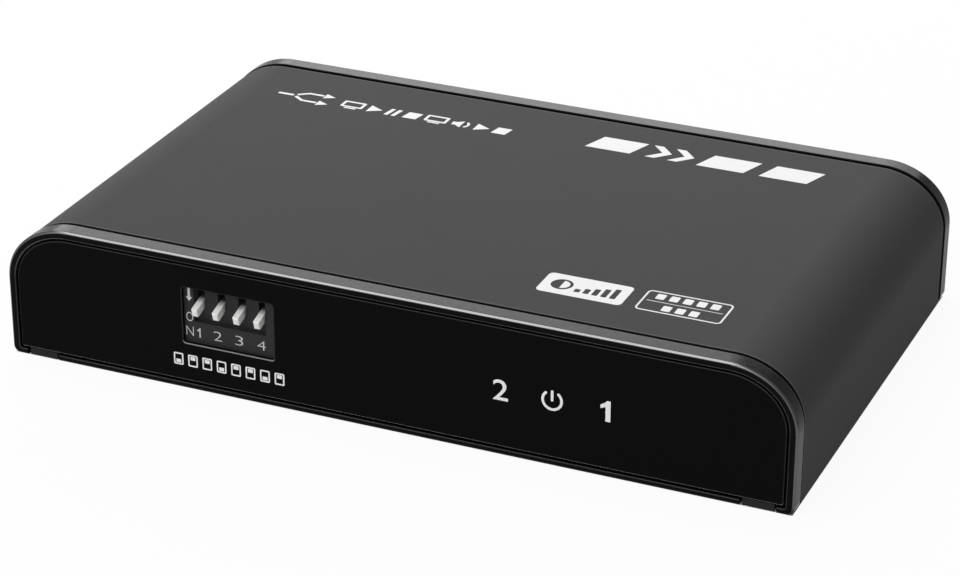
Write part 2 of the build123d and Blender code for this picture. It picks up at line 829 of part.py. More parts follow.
def make_switch_springs():
    """Four leaf springs, each with its foot on the rear terminal and its hook under a lever's tail."""
    foot_z = chamber_floor + leaf_thickness / 2
    crest_y = terminal_rear_y - leaf_reach
    path = Polyline(
        (terminal_rear_y + leaf_foot / 2, foot_z),
        (terminal_rear_y - leaf_foot / 2, foot_z),
        (crest_y, foot_z + leaf_rise),
        (crest_y - leaf_hook_reach, foot_z + leaf_rise - leaf_hook_drop),
    )
    section = trace(path, leaf_thickness)
    springs = []
    for x in lever_places:
        start = Plane(origin=(x - terminal_width / 2, 0, 0), x_dir=(0, 1, 0), z_dir=(1, 0, 0))
        springs.append(extrude(start * section, terminal_width))
    return Compound(children=springs)


def guide_arm_y():
    """Middle of the light guides' upright arm."""
    return panel_back_y + guide_panel_gap + guide_reach - guide_arm_depth / 2


def make_light_guide(x):
    """Clear guide that stands over a light and turns it forward to the panel."""
    front = panel_back_y + guide_panel_gap
    rear = front + guide_reach
    top = light_height + guide_window_height / 2
    bottom = light_height - guide_window_height / 2
    width = around(x, guide_width)
    guide = block(width, (front, rear), (bottom, top))
    guide += block(width, (rear - guide_arm_depth, rear), (board_top, top))
    guide = chamfer(guide.edges().filter_by(Axis.X).group_by(Axis.Z)[-1].sort_by(Axis.Y)[-1], guide_slant)
    notch_half = led_width / 2 + led_notch_gap
    guide -= block(
        (x - notch_half, x + notch_half),
        (rear - guide_arm_depth - cut_margin, rear + cut_margin),
        (board_top - cut_margin, board_top + led_height + led_notch_gap),
    )
    for side in (-1, 1):
        peg_x = x + side * guide_peg_spacing / 2
        guide += upright(peg_x, guide_arm_y(), guide_peg_radius, board_bottom, board_top + led_height)
    return guide


def make_light(x):
    """Small surface light on the board, under its guide."""
    return block(around(x, led_width), around(guide_arm_y(), led_depth), (board_top, board_top + led_height))


def flat_chip(x, side, height, lead_count):
    """Square chip with a comb of leads on each of its four sides."""
    chip = block(around(x, side), around(chip_y, side), (board_top, board_top + height))
    span = side + 2 * chip_lead_length
    lead_z = (board_top, board_top + chip_lead_thickness)
    leads = []
    for index in range(lead_count):
        shift = (index - (lead_count - 1) / 2) * chip_lead_pitch
        leads.append(block(around(x + shift, chip_lead_width), around(chip_y, span), lead_z))
        leads.append(block(around(x, span), around(chip_y + shift, chip_lead_width), lead_z))
    return chip + leads


def make_splitter_chip():
    """Main chip, which repeats the input on both outputs."""
    x = board_x(splitter_chip_share)
    return flat_chip(x, splitter_chip_side, splitter_chip_height, splitter_lead_count)


def make_heat_pad():
    """Soft pad between the main chip and its heat sink."""
    width = around(board_x(splitter_chip_share), splitter_chip_side)
    bottom = board_top + splitter_chip_height
    return block(width, around(chip_y, splitter_chip_side), (bottom, bottom + heat_pad_thickness))


def make_heat_sink():
    """Finned heat sink on the main chip."""
    x = board_x(splitter_chip_share)
    bottom = board_top + splitter_chip_height + heat_pad_thickness
    depth = around(chip_y, heat_sink_side)
    sink = block(around(x, heat_sink_side), depth, (bottom, bottom + heat_sink_base))
    spread = heat_sink_side - heat_sink_fin_width
    for index in range(heat_sink_fin_count):
        fin_x = x - spread / 2 + index * spread / (heat_sink_fin_count - 1)
        sink += block(around(fin_x, heat_sink_fin_width), depth, (bottom, bottom + heat_sink_height))
    return sink


def make_controller_chip():
    """Small chip that reads the switches and drives the lights."""
    x = board_x(controller_share)
    return flat_chip(x, controller_side, controller_height, controller_lead_count)


def make_memory_chips():
    """Three memory chips, one behind each video socket."""
    chips = []
    for socket_x in socket_places.values():
        x = socket_x + memory_shift
        height = (board_top, board_top + memory_height)
        chip = block(around(x, memory_length), around(memory_y, memory_width), height)
        for index in range(memory_lead_count):
            shift = (index - (memory_lead_count - 1) / 2) * memory_lead_pitch
            lead_z = (board_top, board_top + memory_lead_thickness)
            chip += block(around(x + shift, memory_lead_width), around(memory_y, memory_span), lead_z)
        chips.append(chip)
    return Compound(children=chips)


def make_voltage_regulators():
    """Two voltage regulators with their cooling tabs."""
    regulators = []
    x = board_x(regulator_share)
    for side in (-1, 1):
        y = chip_y + side * regulator_pitch / 2
        height = (board_top, board_top + regulator_height)
        body = block(around(x, regulator_width), around(y, regulator_depth), height)
        tab_y = (y + regulator_depth / 2, y + regulator_depth / 2 + regulator_tab_length)
        tab_z = (board_top, board_top + regulator_tab_thickness)
        regulators.append(body + block(around(x, regulator_tab_width), tab_y, tab_z))
    return Compound(children=regulators)


def make_power_inductor():
    """Shielded coil of the power supply."""
    width = around(board_x(inductor_share), inductor_side)
    body = block(width, around(chip_y, inductor_side), (board_top, board_top + inductor_height))
    return chamfer(body.edges().filter_by(Axis.Z), inductor_corner)


def make_clock_crystal():
    """Crystal in its metal can."""
    can = SlotOverall(crystal_length, crystal_width)
    solid = Pos(board_x(crystal_share), crystal_y, board_top) * extrude(can, crystal_height)
    return fillet(solid.faces().sort_by(Axis.Z)[-1].edges(), crystal_edge_round)


def make_bulk_capacitors():
    """Two round capacitors on square bases."""
    capacitors = []
    x = board_x(bulk_capacitor_share)
    rows = [y for x, y in board_screw_places()]
    for side in (-1, 1):
        y = (max(rows) + min(rows)) / 2 + side * bulk_capacitor_pitch / 2
        base_z = (board_top, board_top + bulk_capacitor_base_height)
        base = block(around(x, bulk_capacitor_base_side), around(y, bulk_capacitor_base_side), base_z)
        can = upright(x, y, bulk_capacitor_radius, board_top, board_top + bulk_capacitor_height)
        can = fillet(can.faces().sort_by(Axis.Z)[-1].edges(), bulk_capacitor_edge_round)
        capacitors.append(base + can)
    return Compound(children=capacitors)


def make_chip_parts(places, height):
    """Small surface parts of one kind."""
    parts = []
    for share, rows in places:
        width = around(board_x(share), chip_part_length)
        depth = around(chip_y + rows * chip_part_row, chip_part_width)
        parts.append(block(width, depth, (board_top, board_top + height)))
    return Compound(children=parts)


front_bezel = make_front_bezel()
nodes = {
    "top_cover": make_top_cover(),
    "base_plate": make_base_plate(),
    "front_bezel": front_bezel,
    "rear_bezel": mirror(front_bezel, about=Plane.XZ),
    "front_panel": make_front_panel(),
    "rear_panel": make_rear_panel(),
    "base_screws": make_base_screws(),
    "board_screws": make_board_screws(),
    "main_board": make_main_board(),
    "power_jack_housing": make_jack_housing(),
    "power_jack_pin": make_jack_pin(),
    "power_jack_spring": make_jack_spring(),
    "switch_housing": make_switch_housing(),
    "switch_base": make_switch_base(),
    "switch_terminals": make_switch_terminals(),
    "switch_springs": make_switch_springs(),
    "splitter_chip": make_splitter_chip(),
    "heat_pad": make_heat_pad(),
    "heat_sink": make_heat_sink(),
    "controller_chip": make_controller_chip(),
    "memory_chips": make_memory_chips(),
    "voltage_regulators": make_voltage_regulators(),
    "power_inductor": make_power_inductor(),
    "clock_crystal": make_clock_crystal(),
    "bulk_capacitors": make_bulk_capacitors(),
    "small_capacitors": make_chip_parts(small_capacitor_shares, small_capacitor_height),
    "small_resistors": make_chip_parts(small_resistor_shares, small_resistor_height),
}
for name, x in socket_places.items():
    nodes[name + "_socket_shell"] = make_socket_shell(x)
    nodes[name + "_socket_insert"] = make_socket_insert(x)
    nodes[name + "_socket_contacts"] = make_socket_contacts(x)
for number, x in enumerate(lever_places, start=1):
    nodes[f"switch_lever_{number}"] = make_lever(x)
for name, x in light_places.items():
    nodes[name + "_light"] = make_light(x)
    nodes[name + "_light_guide"] = make_light_guide(x)

os.makedirs("parts", exist_ok=True)
for name, shape in nodes.items():
    export_step(shape, f"parts/{name}.step")
print(len(nodes), "nodes written")
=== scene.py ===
# %% [markdown]
# # A small video splitter box
#
# The real thing is a palm-sized box of moulded plastic: an arched cover, a black rim at each end,
# a gloss front panel with a row of four tiny switches, and metal sockets at the back.
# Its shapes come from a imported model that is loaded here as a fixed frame, so this lesson
# is about finishes, printed marks and light.

# %% Load the frame and note its size
import math

import bmesh
import bpy
from mathutils import Matrix, Vector


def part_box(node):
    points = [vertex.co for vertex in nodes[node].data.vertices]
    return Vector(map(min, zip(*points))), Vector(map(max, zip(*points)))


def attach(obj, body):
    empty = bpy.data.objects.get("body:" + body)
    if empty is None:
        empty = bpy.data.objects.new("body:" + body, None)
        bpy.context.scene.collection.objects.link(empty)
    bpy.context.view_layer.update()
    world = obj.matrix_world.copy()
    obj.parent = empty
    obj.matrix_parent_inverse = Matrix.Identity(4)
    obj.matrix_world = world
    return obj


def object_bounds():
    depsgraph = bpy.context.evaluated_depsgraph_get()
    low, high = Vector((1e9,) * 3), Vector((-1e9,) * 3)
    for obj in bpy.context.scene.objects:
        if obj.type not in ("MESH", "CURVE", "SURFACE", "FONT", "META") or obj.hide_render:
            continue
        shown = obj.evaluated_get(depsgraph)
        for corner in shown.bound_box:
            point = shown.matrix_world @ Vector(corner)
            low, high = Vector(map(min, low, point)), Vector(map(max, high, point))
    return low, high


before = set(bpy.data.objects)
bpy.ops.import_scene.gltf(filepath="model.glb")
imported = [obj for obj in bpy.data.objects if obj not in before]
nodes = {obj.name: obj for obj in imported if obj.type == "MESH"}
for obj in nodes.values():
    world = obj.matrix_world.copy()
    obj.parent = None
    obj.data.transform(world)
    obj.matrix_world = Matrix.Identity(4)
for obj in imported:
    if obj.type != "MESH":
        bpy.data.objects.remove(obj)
cad_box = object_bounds()
print("nodes:", len(nodes), "box in metres:", [[round(v, 4) for v in corner] for corner in cad_box])

# %% [markdown]
# ## A few helpers
#
# Sizes are easiest to think of in millimetres, while Blender counts in metres.
# Colours are easiest to think of as the hex values of a paint chart, while shaders want linear light.
# And a material is a small graph, so one function that adds a node and fills its inputs keeps it readable.

# %% Millimetres, colours and nodes
MM = 0.001


def linear(hex_colour):
    """Turns an sRGB hex colour into linear red, green, blue and alpha."""
    channels = [int(hex_colour[i : i + 2], 16) / 255 for i in (1, 3, 5)]
    return [c / 12.92 if c <= 0.04045 else ((c + 0.055) / 1.055) ** 2.4 for c in channels] + [1.0]


def add_node(tree, kind, inputs=None, **settings):
    """Adds one shader node, sets its properties, fills or links its inputs, and gives its outputs."""
    node = tree.nodes.new(kind)
    for name, value in settings.items():
        setattr(node, name, value)
    for name, value in (inputs or {}).items():
        if isinstance(value, bpy.types.NodeSocket):
            tree.links.new(value, node.inputs[name])
        else:
            node.inputs[name].default_value = value
    return node.outputs


def start_material(name, **surface):
    """Makes a material with one Principled surface, whose plain values are given by name."""
    material = bpy.data.materials.new(name)
    material.use_nodes = True
    tree = material.node_tree
    tree.nodes.clear()
    values = {key.replace("_", " "): value for key, value in surface.items()}
    surface_out = add_node(tree, "ShaderNodeBsdfPrincipled", values)
    add_node(tree, "ShaderNodeOutputMaterial", {"Surface": surface_out[0]})
    place = add_node(tree, "ShaderNodeTexCoord")["Object"]
    return material, tree, tree.nodes["Principled BSDF"], place


def grains(size_mm):
    """How many grains of that size fit in a metre, which is what a texture's scale counts."""
    return 1 / (size_mm * MM)


print("mid grey in linear light:", round(linear("#808080")[0], 3))

# %% [markdown]
# ## The camera
#
# The photograph looks down at the box from its front right with a long lens.
# The place, turn and lens below were worked out from the box's own edges in the picture,
# so the render can be laid over the photograph.

# %% Camera at the photograph's angle
LOOK_AT = Vector((11.2690, -28.5, 19.4241)) * MM
AZIMUTH, ELEVATION, ROLL = (math.radians(a) for a in (23.3457, 25.9080, 0.2155))
DISTANCE = 325.489 * MM
SENSOR_WIDTH_MM, LENS_MM = 36, 116.488
NEAREST_SEEN = 10 * MM

flat = math.cos(ELEVATION)
back = Vector((math.sin(AZIMUTH) * flat, -math.cos(AZIMUTH) * flat, math.sin(ELEVATION)))
level_right = Vector((math.cos(AZIMUTH), math.sin(AZIMUTH), 0))
level_up = back.cross(level_right)
right = math.cos(ROLL) * level_right + math.sin(ROLL) * level_up
up = math.cos(ROLL) * level_up - math.sin(ROLL) * level_right

camera_data = bpy.data.cameras.new("camera")
camera_data.sensor_width = SENSOR_WIDTH_MM
camera_data.lens = LENS_MM
camera_data.clip_start = NEAREST_SEEN
camera = bpy.data.objects.new("camera", camera_data)
turn = Matrix((right, up, back)).transposed().to_4x4()
camera.matrix_world = Matrix.Translation(LOOK_AT + back * DISTANCE) @ turn
bpy.context.scene.collection.objects.link(camera)
bpy.context.scene.camera = camera
bpy.context.scene.view_settings.view_transform = "Standard"
print("camera at", [round(v, 3) for v in camera.location])

# %% [markdown]
# ## Floor and room
#
# The floor looks white to the camera, and to whatever mirrors it, through a share of glow that only
# those rays meet, so no extra light is spent on the box. Near the box the rest is pale paper that
# takes its shadow, and further out the glow takes over, so that the floor runs into the white room
# without a horizon. Right under the box the glow is off, so that no white shines through the slits.
# The room does the same: white to look at, dim as a source of light.

# %% A wide floor
FLOOR_SIDE = 6.0

floor_mesh = bpy.data.meshes.new("studio_floor")
half_floor = FLOOR_SIDE / 2
corners = [(x * half_floor, y * half_floor, 0) for x, y in ((-1, -1), (1, -1), (1, 1), (-1, 1))]
floor_mesh.from_pydata(corners, [], [(0, 1, 2, 3)])
floor = bpy.data.objects.new("studio_floor", floor_mesh)
bpy.context.scene.collection.objects.link(floor)
print("floor", FLOOR_SIDE, "m wide")

# %% White paper that keeps the shadow
NEAR_GLOW_SHARE, NEAR_REACH, FAR_REACH = 0.93, 0.10, 0.45
GLOW_UNDER_EDGE = 0.2 * MM


def seen_rays(tree):
    """One where a ray comes from the camera, a mirror or clear plastic, and zero elsewhere."""
    rays = add_node(tree, "ShaderNodeLightPath")
    seen = rays["Is Camera Ray"]
    for kind in ("Is Glossy Ray", "Is Transmission Ray"):
        seen = add_node(tree, "ShaderNodeMath", {0: seen, 1: rays[kind]}, operation="MAXIMUM")[0]
    return seen


paper = bpy.data.materials.new("white_studio_paper")
paper.use_nodes = True
tree = paper.node_tree
tree.nodes.clear()
place = add_node(tree, "ShaderNodeTexCoord")["Object"]
reach = add_node(tree, "ShaderNodeVectorMath", {0: place}, operation="LENGTH")["Value"]
far_out = {"From Min": NEAR_REACH, "From Max": FAR_REACH, "To Min": NEAR_GLOW_SHARE, "To Max": 1.0}
share = add_node(tree, "ShaderNodeMapRange", {"Value": reach, **far_out})[0]
spot = add_node(tree, "ShaderNodeSeparateXYZ", {0: place})
beside = 0.0
for axis in range(2):
    reach = add_node(tree, "ShaderNodeMath", {0: spot[axis]}, operation="ABSOLUTE")[0]
    edge = cad_box[1][axis] - GLOW_UNDER_EDGE
    beyond = add_node(tree, "ShaderNodeMath", {0: reach, 1: edge}, operation="GREATER_THAN")[0]
    beside = add_node(tree, "ShaderNodeMath", {0: beyond, 1: beside}, operation="MAXIMUM")[0]
for part in (beside, seen_rays(tree)):
    share = add_node(tree, "ShaderNodeMath", {0: share, 1: part}, operation="MULTIPLY")[0]
matt = add_node(tree, "ShaderNodeBsdfDiffuse", {"Color": linear("#ececec")})[0]
glow = add_node(tree, "ShaderNodeEmission", {"Color": linear("#ffffff"), "Strength": 1.0})[0]
mixed = add_node(tree, "ShaderNodeMixShader", {0: share, 1: matt, 2: glow})[0]
add_node(tree, "ShaderNodeOutputMaterial", {"Surface": mixed})
floor.data.materials.append(paper)
print("paper glows with a share of", NEAR_GLOW_SHARE, "near the box")

# %% A white room that gives little light
ROOM_LIGHT = 0.10

world = bpy.data.worlds.new("studio_room")
world.use_nodes = True
bpy.context.scene.world = world
tree = world.node_tree
tree.nodes.clear()
room = add_node(tree, "ShaderNodeBackground", {"Color": linear("#ffffff"), "Strength": ROOM_LIGHT})[0]
white = add_node(tree, "ShaderNodeBackground", {"Color": linear("#ffffff"), "Strength": 1.0})[0]
mixed = add_node(tree, "ShaderNodeMixShader", {0: seen_rays(tree), 1: room, 2: white})[0]
add_node(tree, "ShaderNodeOutputWorld", {"Surface": mixed})
print("room light", ROOM_LIGHT)

# %% [markdown]
# ## Lamps
#
# Black plastic is drawn by what it mirrors. A large panel overhead and to the left lights the cover
# and leaves the right side in shade. A strip in front is mirrored in the round front edges, and
# a low strip behind is mirrored in the flat tops of the rims, which turns them from black to grey.


# %% Three soft lamps
def soft_panel(name, place, aim, width, height, radiance):
    """A rectangular lamp at one point, turned to face another, as bright as a surface of that radiance."""
    lamp = bpy.data.lights.new(name, "AREA")
    lamp.shape = "RECTANGLE"
    lamp.size, lamp.size_y = width, height
    lamp.energy = radiance * math.pi * width * height
    holder = bpy.data.objects.new(name, lamp)
    holder.location = place
    holder.rotation_euler = (Vector(place) - Vector(aim)).to_track_quat("Z", "Y").to_euler()
    holder.visible_camera = False
    bpy.context.scene.collection.objects.link(holder)
    print(name, "at", [round(v, 2) for v in place], round(lamp.energy, 2), "W")


soft_panel("overhead_panel", (-0.22, -0.06, 0.72), aim=(0, 0, 0), width=0.8, height=0.8, radiance=2.1)
soft_panel("front_strip", (-0.02, -0.52, 0.44), aim=(0, 0, 0.01), width=0.8, height=0.26, radiance=3.15)
soft_panel("rear_strip", (-0.18, 0.42, 0.20), aim=(0, 0, 0.01), width=0.7, height=0.16, radiance=5.8)

# %% [markdown]
# ## Moulded plastics
#
# The cover, the rims and the base are ABS, pressed into steel moulds. The mould of the cover was
# spark-eroded, which leaves a fine even grain that scatters light, while the rims' mould was polished
# and leaves only a faint unevenness. The cover's grain is drawn a little coarse, at about a quarter of
# a millimetre, because the real one is finer than a pixel here. ABS has an index of refraction near
# 1.53, and the other plastics and the ink further on are close enough to share it. The dark pigment
# and the grain hold the mirror-like part down, so the specular level is low.
# A noise texture spends most of its time near its middle, so its middle is what is spread over a range.

# %% Moulded plastic with a grain
NOISE_MIDDLE = {"From Min": 0.3, "From Max": 0.7}


def moulded_plastic(name, colour, shade, roughness, grain_mm, grain_height_mm, mottle_mm=9.0, **surface):
    """Moulded plastic: two near colours in a slow mottle, and a fine grain in height and gloss."""
    material, tree, shader, place = start_material(name, IOR=1.53, **surface)
    grain = {"Vector": place, "Scale": grains(grain_mm), "Detail": 2.0}
    grain = add_node(tree, "ShaderNodeTexNoise", grain)[0]
    mottle = {"Vector": place, "Scale": grains(mottle_mm), "Detail": 3.0}
    mottle = add_node(tree, "ShaderNodeTexNoise", mottle)[0]
    tones = {0: mottle, 6: linear(colour), 7: linear(shade)}
    tint = add_node(tree, "ShaderNodeMix", tones, data_type="RGBA")[2]
    spread = {**NOISE_MIDDLE, "To Min": roughness - 0.04, "To Max": roughness + 0.04}
    gloss = add_node(tree, "ShaderNodeMapRange", {"Value": grain, **spread})[0]
    bump = add_node(tree, "ShaderNodeBump", {"Height": grain, "Distance": grain_height_mm * MM})[0]
    tree.links.new(tint, shader.inputs["Base Color"])
    tree.links.new(gloss, shader.inputs["Roughness"])
    tree.links.new(bump, shader.inputs["Normal"])
    print(name, colour, "roughness", roughness, "grain", grain_mm, "mm")
    return material


cover_abs = moulded_plastic(
    "spark_eroded_abs_charcoal", "#3d3d3e", "#3a3a3b", 0.62, 0.26, 0.010, Specular_IOR_Level=0.03
)
base_abs = moulded_plastic(
    "spark_eroded_abs_black", "#1d1d1e", "#19191a", 0.55, 0.30, 0.010, Specular_IOR_Level=0.15
)

# %% [markdown]
# ## Edges
#
# Light shows a moulding's edges more than its faces, and here most edges are under a pixel wide,
# so their highlights and shade are painted into the colour. An edge can be found by the direction of its
# surface:
# a face points straight along an axis, and a rounded edge points between two. Every long edge of this
# box lies between a face that looks along Y and one that looks across it, so the share of Y in
# the direction is enough to tell face, edge and side apart.

# %% Find the edges and tint them
OFF_SIDE, OFF_FACE = (0.10, 0.35), (0.985, 0.93)


def edge_parts(tree):
    """Where a surface turns between facing along Y and facing across it, and its direction and place."""
    coordinates = add_node(tree, "ShaderNodeTexCoord")
    direction = add_node(tree, "ShaderNodeSeparateXYZ", {0: coordinates["Normal"]})
    spot = add_node(tree, "ShaderNodeSeparateXYZ", {0: coordinates["Object"]})
    facing = add_node(tree, "ShaderNodeMath", {0: direction[1]}, operation="ABSOLUTE")[0]
    edge = 1.0
    for start, end in (OFF_SIDE, OFF_FACE):
        turned = {"Value": facing, "From Min": start, "From Max": end}
        turned = add_node(tree, "ShaderNodeMapRange", turned)[0]
        edge = add_node(tree, "ShaderNodeMath", {0: turned, 1: edge}, operation="MULTIPLY")[0]
    return edge, direction, spot


def tint_over(tree, share, colour):
    """Mixes a colour over a material's base colour, by a share from zero to one."""
    socket = tree.nodes["Principled BSDF"].inputs["Base Color"]
    below = socket.links[0].from_socket if socket.is_linked else list(socket.default_value)
    tones = {0: share, 6: below, 7: linear(colour)}
    tree.links.new(add_node(tree, "ShaderNodeMix", tones, data_type="RGBA")[2], socket)


print("an edge starts", round(math.degrees(math.asin(OFF_SIDE[0]))), "degrees off the side")

# %% [markdown]
# ## The seam at the cover's ends
#
# Each end of the cover stands 0.4 mm off a rim. No light gets into that seam, so it reads as
# a black line, and the edge beside it catches the light as a paler line. Both are painted into the colour:
# painted shade blackens the end face and a hair of the top next to it, and a painted highlight pales
# a line beside that, by distance from the cover's end. Every rounded edge of the cover gets a painted
# highlight too.

# %% Painted shade in the seam and a painted highlight line
COVER_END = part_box("top_cover")[1].y
EDGE_HIGHLIGHT_LINE_MM, SEAM_SHADE_LINE_MM, LINE_BLEND_MM = 0.34, 0.12, 0.05
SEAM_SHADE_BLACK = "#040404"

tree = cover_abs.node_tree
edge, direction, spot = edge_parts(tree)
# painted highlight: every rounded edge of the cover is paled
tint_over(tree, edge, "#858587")
depth = add_node(tree, "ShaderNodeMath", {0: spot[1]}, operation="ABSOLUTE")[0]
looks_up = {"Value": direction[2], "From Min": 0.3, "From Max": 0.7}
looks_up = add_node(tree, "ShaderNodeMapRange", looks_up)[0]
# a painted highlight line near the cover's end, then painted shade on the line at its very end
for line_mm, colour in ((EDGE_HIGHLIGHT_LINE_MM, "#4f4f50"), (SEAM_SHADE_LINE_MM, SEAM_SHADE_BLACK)):
    line_start = COVER_END - line_mm * MM
    near_end = {"Value": depth, "From Min": line_start - LINE_BLEND_MM * MM, "From Max": line_start}
    near_end = {0: add_node(tree, "ShaderNodeMapRange", near_end)[0], 1: looks_up}
    tint_over(tree, add_node(tree, "ShaderNodeMath", near_end, operation="MULTIPLY")[0], colour)
# painted shade: the end face inside the seam is blackened
end_face = add_node(tree, "ShaderNodeMath", {0: direction[1]}, operation="ABSOLUTE")[0]
end_face = {"Value": end_face, "From Min": 0.35, "From Max": 0.60}
tint_over(tree, add_node(tree, "ShaderNodeMapRange", end_face)[0], SEAM_SHADE_BLACK)
print("cover ends", round(COVER_END / MM, 2), "mm from the middle,", len(tree.nodes), "nodes")

# %% [markdown]
# ## Polished rims
#
# The rims came out of a polished mould. Their faces are deep black, and where two faces meet
# the edge is rounded. The outer edge gets a bright painted highlight: a pale metallic tint that mirrors
# the lamps, on its upper side and less round the corners. The inner edge gets a fainter painted highlight,
# a little stronger where it looks down. What tells outer from inner is whether
# the surface points away from the rim's middle or towards it.

# %% Outer and inner edges of the rims
RIM_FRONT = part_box("rear_bezel")[1].y
EDGE_DEPTH, EDGE_BLEND = 0.5 * MM, 0.1 * MM
MIDDLE_HEIGHT = cad_box[1][2] / 2

rim_abs = moulded_plastic(
    "polished_abs_black", "#0a0a0b", "#080809", 0.20, 0.60, 0.0006, Specular_IOR_Level=0.04
)
tree = rim_abs.node_tree
edge, direction, spot = edge_parts(tree)
depth = add_node(tree, "ShaderNodeMath", {0: spot[1]}, operation="ABSOLUTE")[0]
edge_start = RIM_FRONT - EDGE_DEPTH
at_front = {"Value": depth, "From Min": edge_start - EDGE_BLEND, "From Max": edge_start}
at_front = add_node(tree, "ShaderNodeMapRange", at_front)[0]
edge = add_node(tree, "ShaderNodeMath", {0: edge, 1: at_front}, operation="MULTIPLY")[0]

height = add_node(tree, "ShaderNodeMath", {0: spot[2], 1: MIDDLE_HEIGHT}, operation="SUBTRACT")[0]
outward = add_node(tree, "ShaderNodeMath", {0: direction[0], 1: spot[0]}, operation="MULTIPLY")[0]
outward = {0: direction[2], 1: height, 2: outward}
outward = add_node(tree, "ShaderNodeMath", outward, operation="MULTIPLY_ADD")[0]
is_outer = add_node(tree, "ShaderNodeMath", {0: outward, 1: 0.0}, operation="GREATER_THAN")[0]
outer = add_node(tree, "ShaderNodeMath", {0: edge, 1: is_outer}, operation="MULTIPLY")[0]
inner = add_node(tree, "ShaderNodeMath", {0: edge, 1: outer}, operation="SUBTRACT")[0]
print("rim edges reach", round(EDGE_DEPTH / MM, 2), "mm back from the front")

# %% Painted highlights on the outer and inner edges
CORNER_HIGHLIGHT = 0.3

upper = {"Value": direction[2], "From Min": -0.5, "From Max": 0.3}
upper = add_node(tree, "ShaderNodeMapRange", upper)[0]
corner = add_node(tree, "ShaderNodeMath", {0: direction[0], 1: direction[2]}, operation="MULTIPLY")[0]
corner = add_node(tree, "ShaderNodeMath", {0: corner}, operation="ABSOLUTE")[0]
straight = {"Value": corner, "From Min": 0.02, "From Max": 0.16, "To Min": 1.0, "To Max": CORNER_HIGHLIGHT}
straight = add_node(tree, "ShaderNodeMapRange", straight)[0]
for share in (upper, straight):
    outer = add_node(tree, "ShaderNodeMath", {0: outer, 1: share}, operation="MULTIPLY")[0]
looks_down = {"Value": direction[2], "From Min": 0.0, "From Max": -0.5}
looks_down = add_node(tree, "ShaderNodeMapRange", looks_down)[0]
inner_down = add_node(tree, "ShaderNodeMath", {0: inner, 1: looks_down}, operation="MULTIPLY")[0]
# painted highlights: pale tints on the inner edges, and a pale metallic tint on the outer edge that mirrors
# the lamps
for share, colour in ((inner, "#3c3c3e"), (inner_down, "#606062"), (outer, "#767678")):
    tint_over(tree, share, colour)
tree.links.new(outer, tree.nodes["Principled BSDF"].inputs["Metallic"])
print("bead left round the corners:", CORNER_HIGHLIGHT)

# %% Keep the rims dull inside the seam, with painted shade there
SEAM, SEAM_BLEND = 0.4 * MM, 0.02 * MM

seam_start = COVER_END + SEAM - SEAM_BLEND
in_seam = {"Value": depth, "From Min": seam_start, "From Max": seam_start - SEAM_BLEND}
in_seam = add_node(tree, "ShaderNodeMapRange", in_seam)[0]
polish = tree.nodes["Principled BSDF"].inputs["Roughness"]
tones = {0: in_seam, 2: polish.links[0].from_socket, 3: 0.95}
tree.links.new(add_node(tree, "ShaderNodeMix", tones)[0], polish)
# painted shade: the rim turns black where it lies in the seam
tint_over(tree, in_seam, "#030303")
print("rims:", len(tree.nodes), "nodes")

# %% [markdown]
# ## Gloss front and rear panels
#
# Each panel is a thin polycarbonate sheet with black ink on its back. Nothing scatters at its surface,
# so it is a mirror, but a weak one: what makes it look black is how little it reflects. A hard coat
# takes most of that away, so its specular level is low. A very slow waviness keeps the reflection from
# looking computed. The die-cut edges get a painted highlight, a thin grey line, and a paler painted
# highlight low down, along the sheet's bottom and the window's sill, where they would catch the light of
# the floor.


# %% Hard-coated polycarbonate, printed black behind
def printed_sheet(name, colour, cut_highlight_colour, low_cut_highlight_colour, roughness, level, wave_mm=7.0, dust_mm=0.5):
    """Clear sheet over black ink, with a slow waviness and a painted highlight on its cut edges."""
    plain = {"IOR": 1.58, "Specular_IOR_Level": level, "Base_Color": linear(colour)}
    material, tree, shader, place = start_material(name, **plain)
    wave = {"Vector": place, "Scale": grains(wave_mm), "Detail": 1.0}
    wave = add_node(tree, "ShaderNodeTexNoise", wave)[0]
    dust = {"Vector": place, "Scale": grains(dust_mm), "Detail": 3.0}
    dust = add_node(tree, "ShaderNodeTexNoise", dust)[0]
    spread = {"From Min": 0.35, "From Max": 0.8, "To Min": roughness, "To Max": roughness + 0.06}
    haze = add_node(tree, "ShaderNodeMapRange", {"Value": dust, **spread})[0]
    bump = add_node(tree, "ShaderNodeBump", {"Height": wave, "Distance": 0.003 * MM})[0]
    tree.links.new(haze, shader.inputs["Roughness"])
    tree.links.new(bump, shader.inputs["Normal"])
    cut, direction, spot = edge_parts(tree)
    level_cut = add_node(tree, "ShaderNodeMath", {0: direction[2]}, operation="ABSOLUTE")[0]
    level_cut = {"Value": level_cut, "From Min": 0.1, "From Max": 0.5}
    low_cut_highlight = add_node(tree, "ShaderNodeMapRange", level_cut)[0]
    low_half = add_node(tree, "ShaderNodeMath", {0: spot[2], 1: MIDDLE_HEIGHT}, operation="LESS_THAN")[0]
    for part in (cut, low_half):
        low_cut_highlight = add_node(tree, "ShaderNodeMath", {0: low_cut_highlight, 1: part}, operation="MULTIPLY")[0]
    # painted highlights: a grey line on every cut edge, and a paler one on the low cut edges
    tint_over(tree, cut, cut_highlight_colour)
    tint_over(tree, low_cut_highlight, low_cut_highlight_colour)
    print(name, colour, "specular level", level)
    return material


panel_sheet = printed_sheet("hard_coated_polycarbonate_black", "#060607", "#303032", "#8a8a8c", 0.06, 0.03)

# %% [markdown]
# ## Switch, sockets and jack
#
# The switch body is glass-filled nylon, dark and dry, and its levers are white acetal.
# The socket shells are nickel-plated steel that was rolled into sheet, so faint lines run along them,
# and the contacts are gold over nickel.


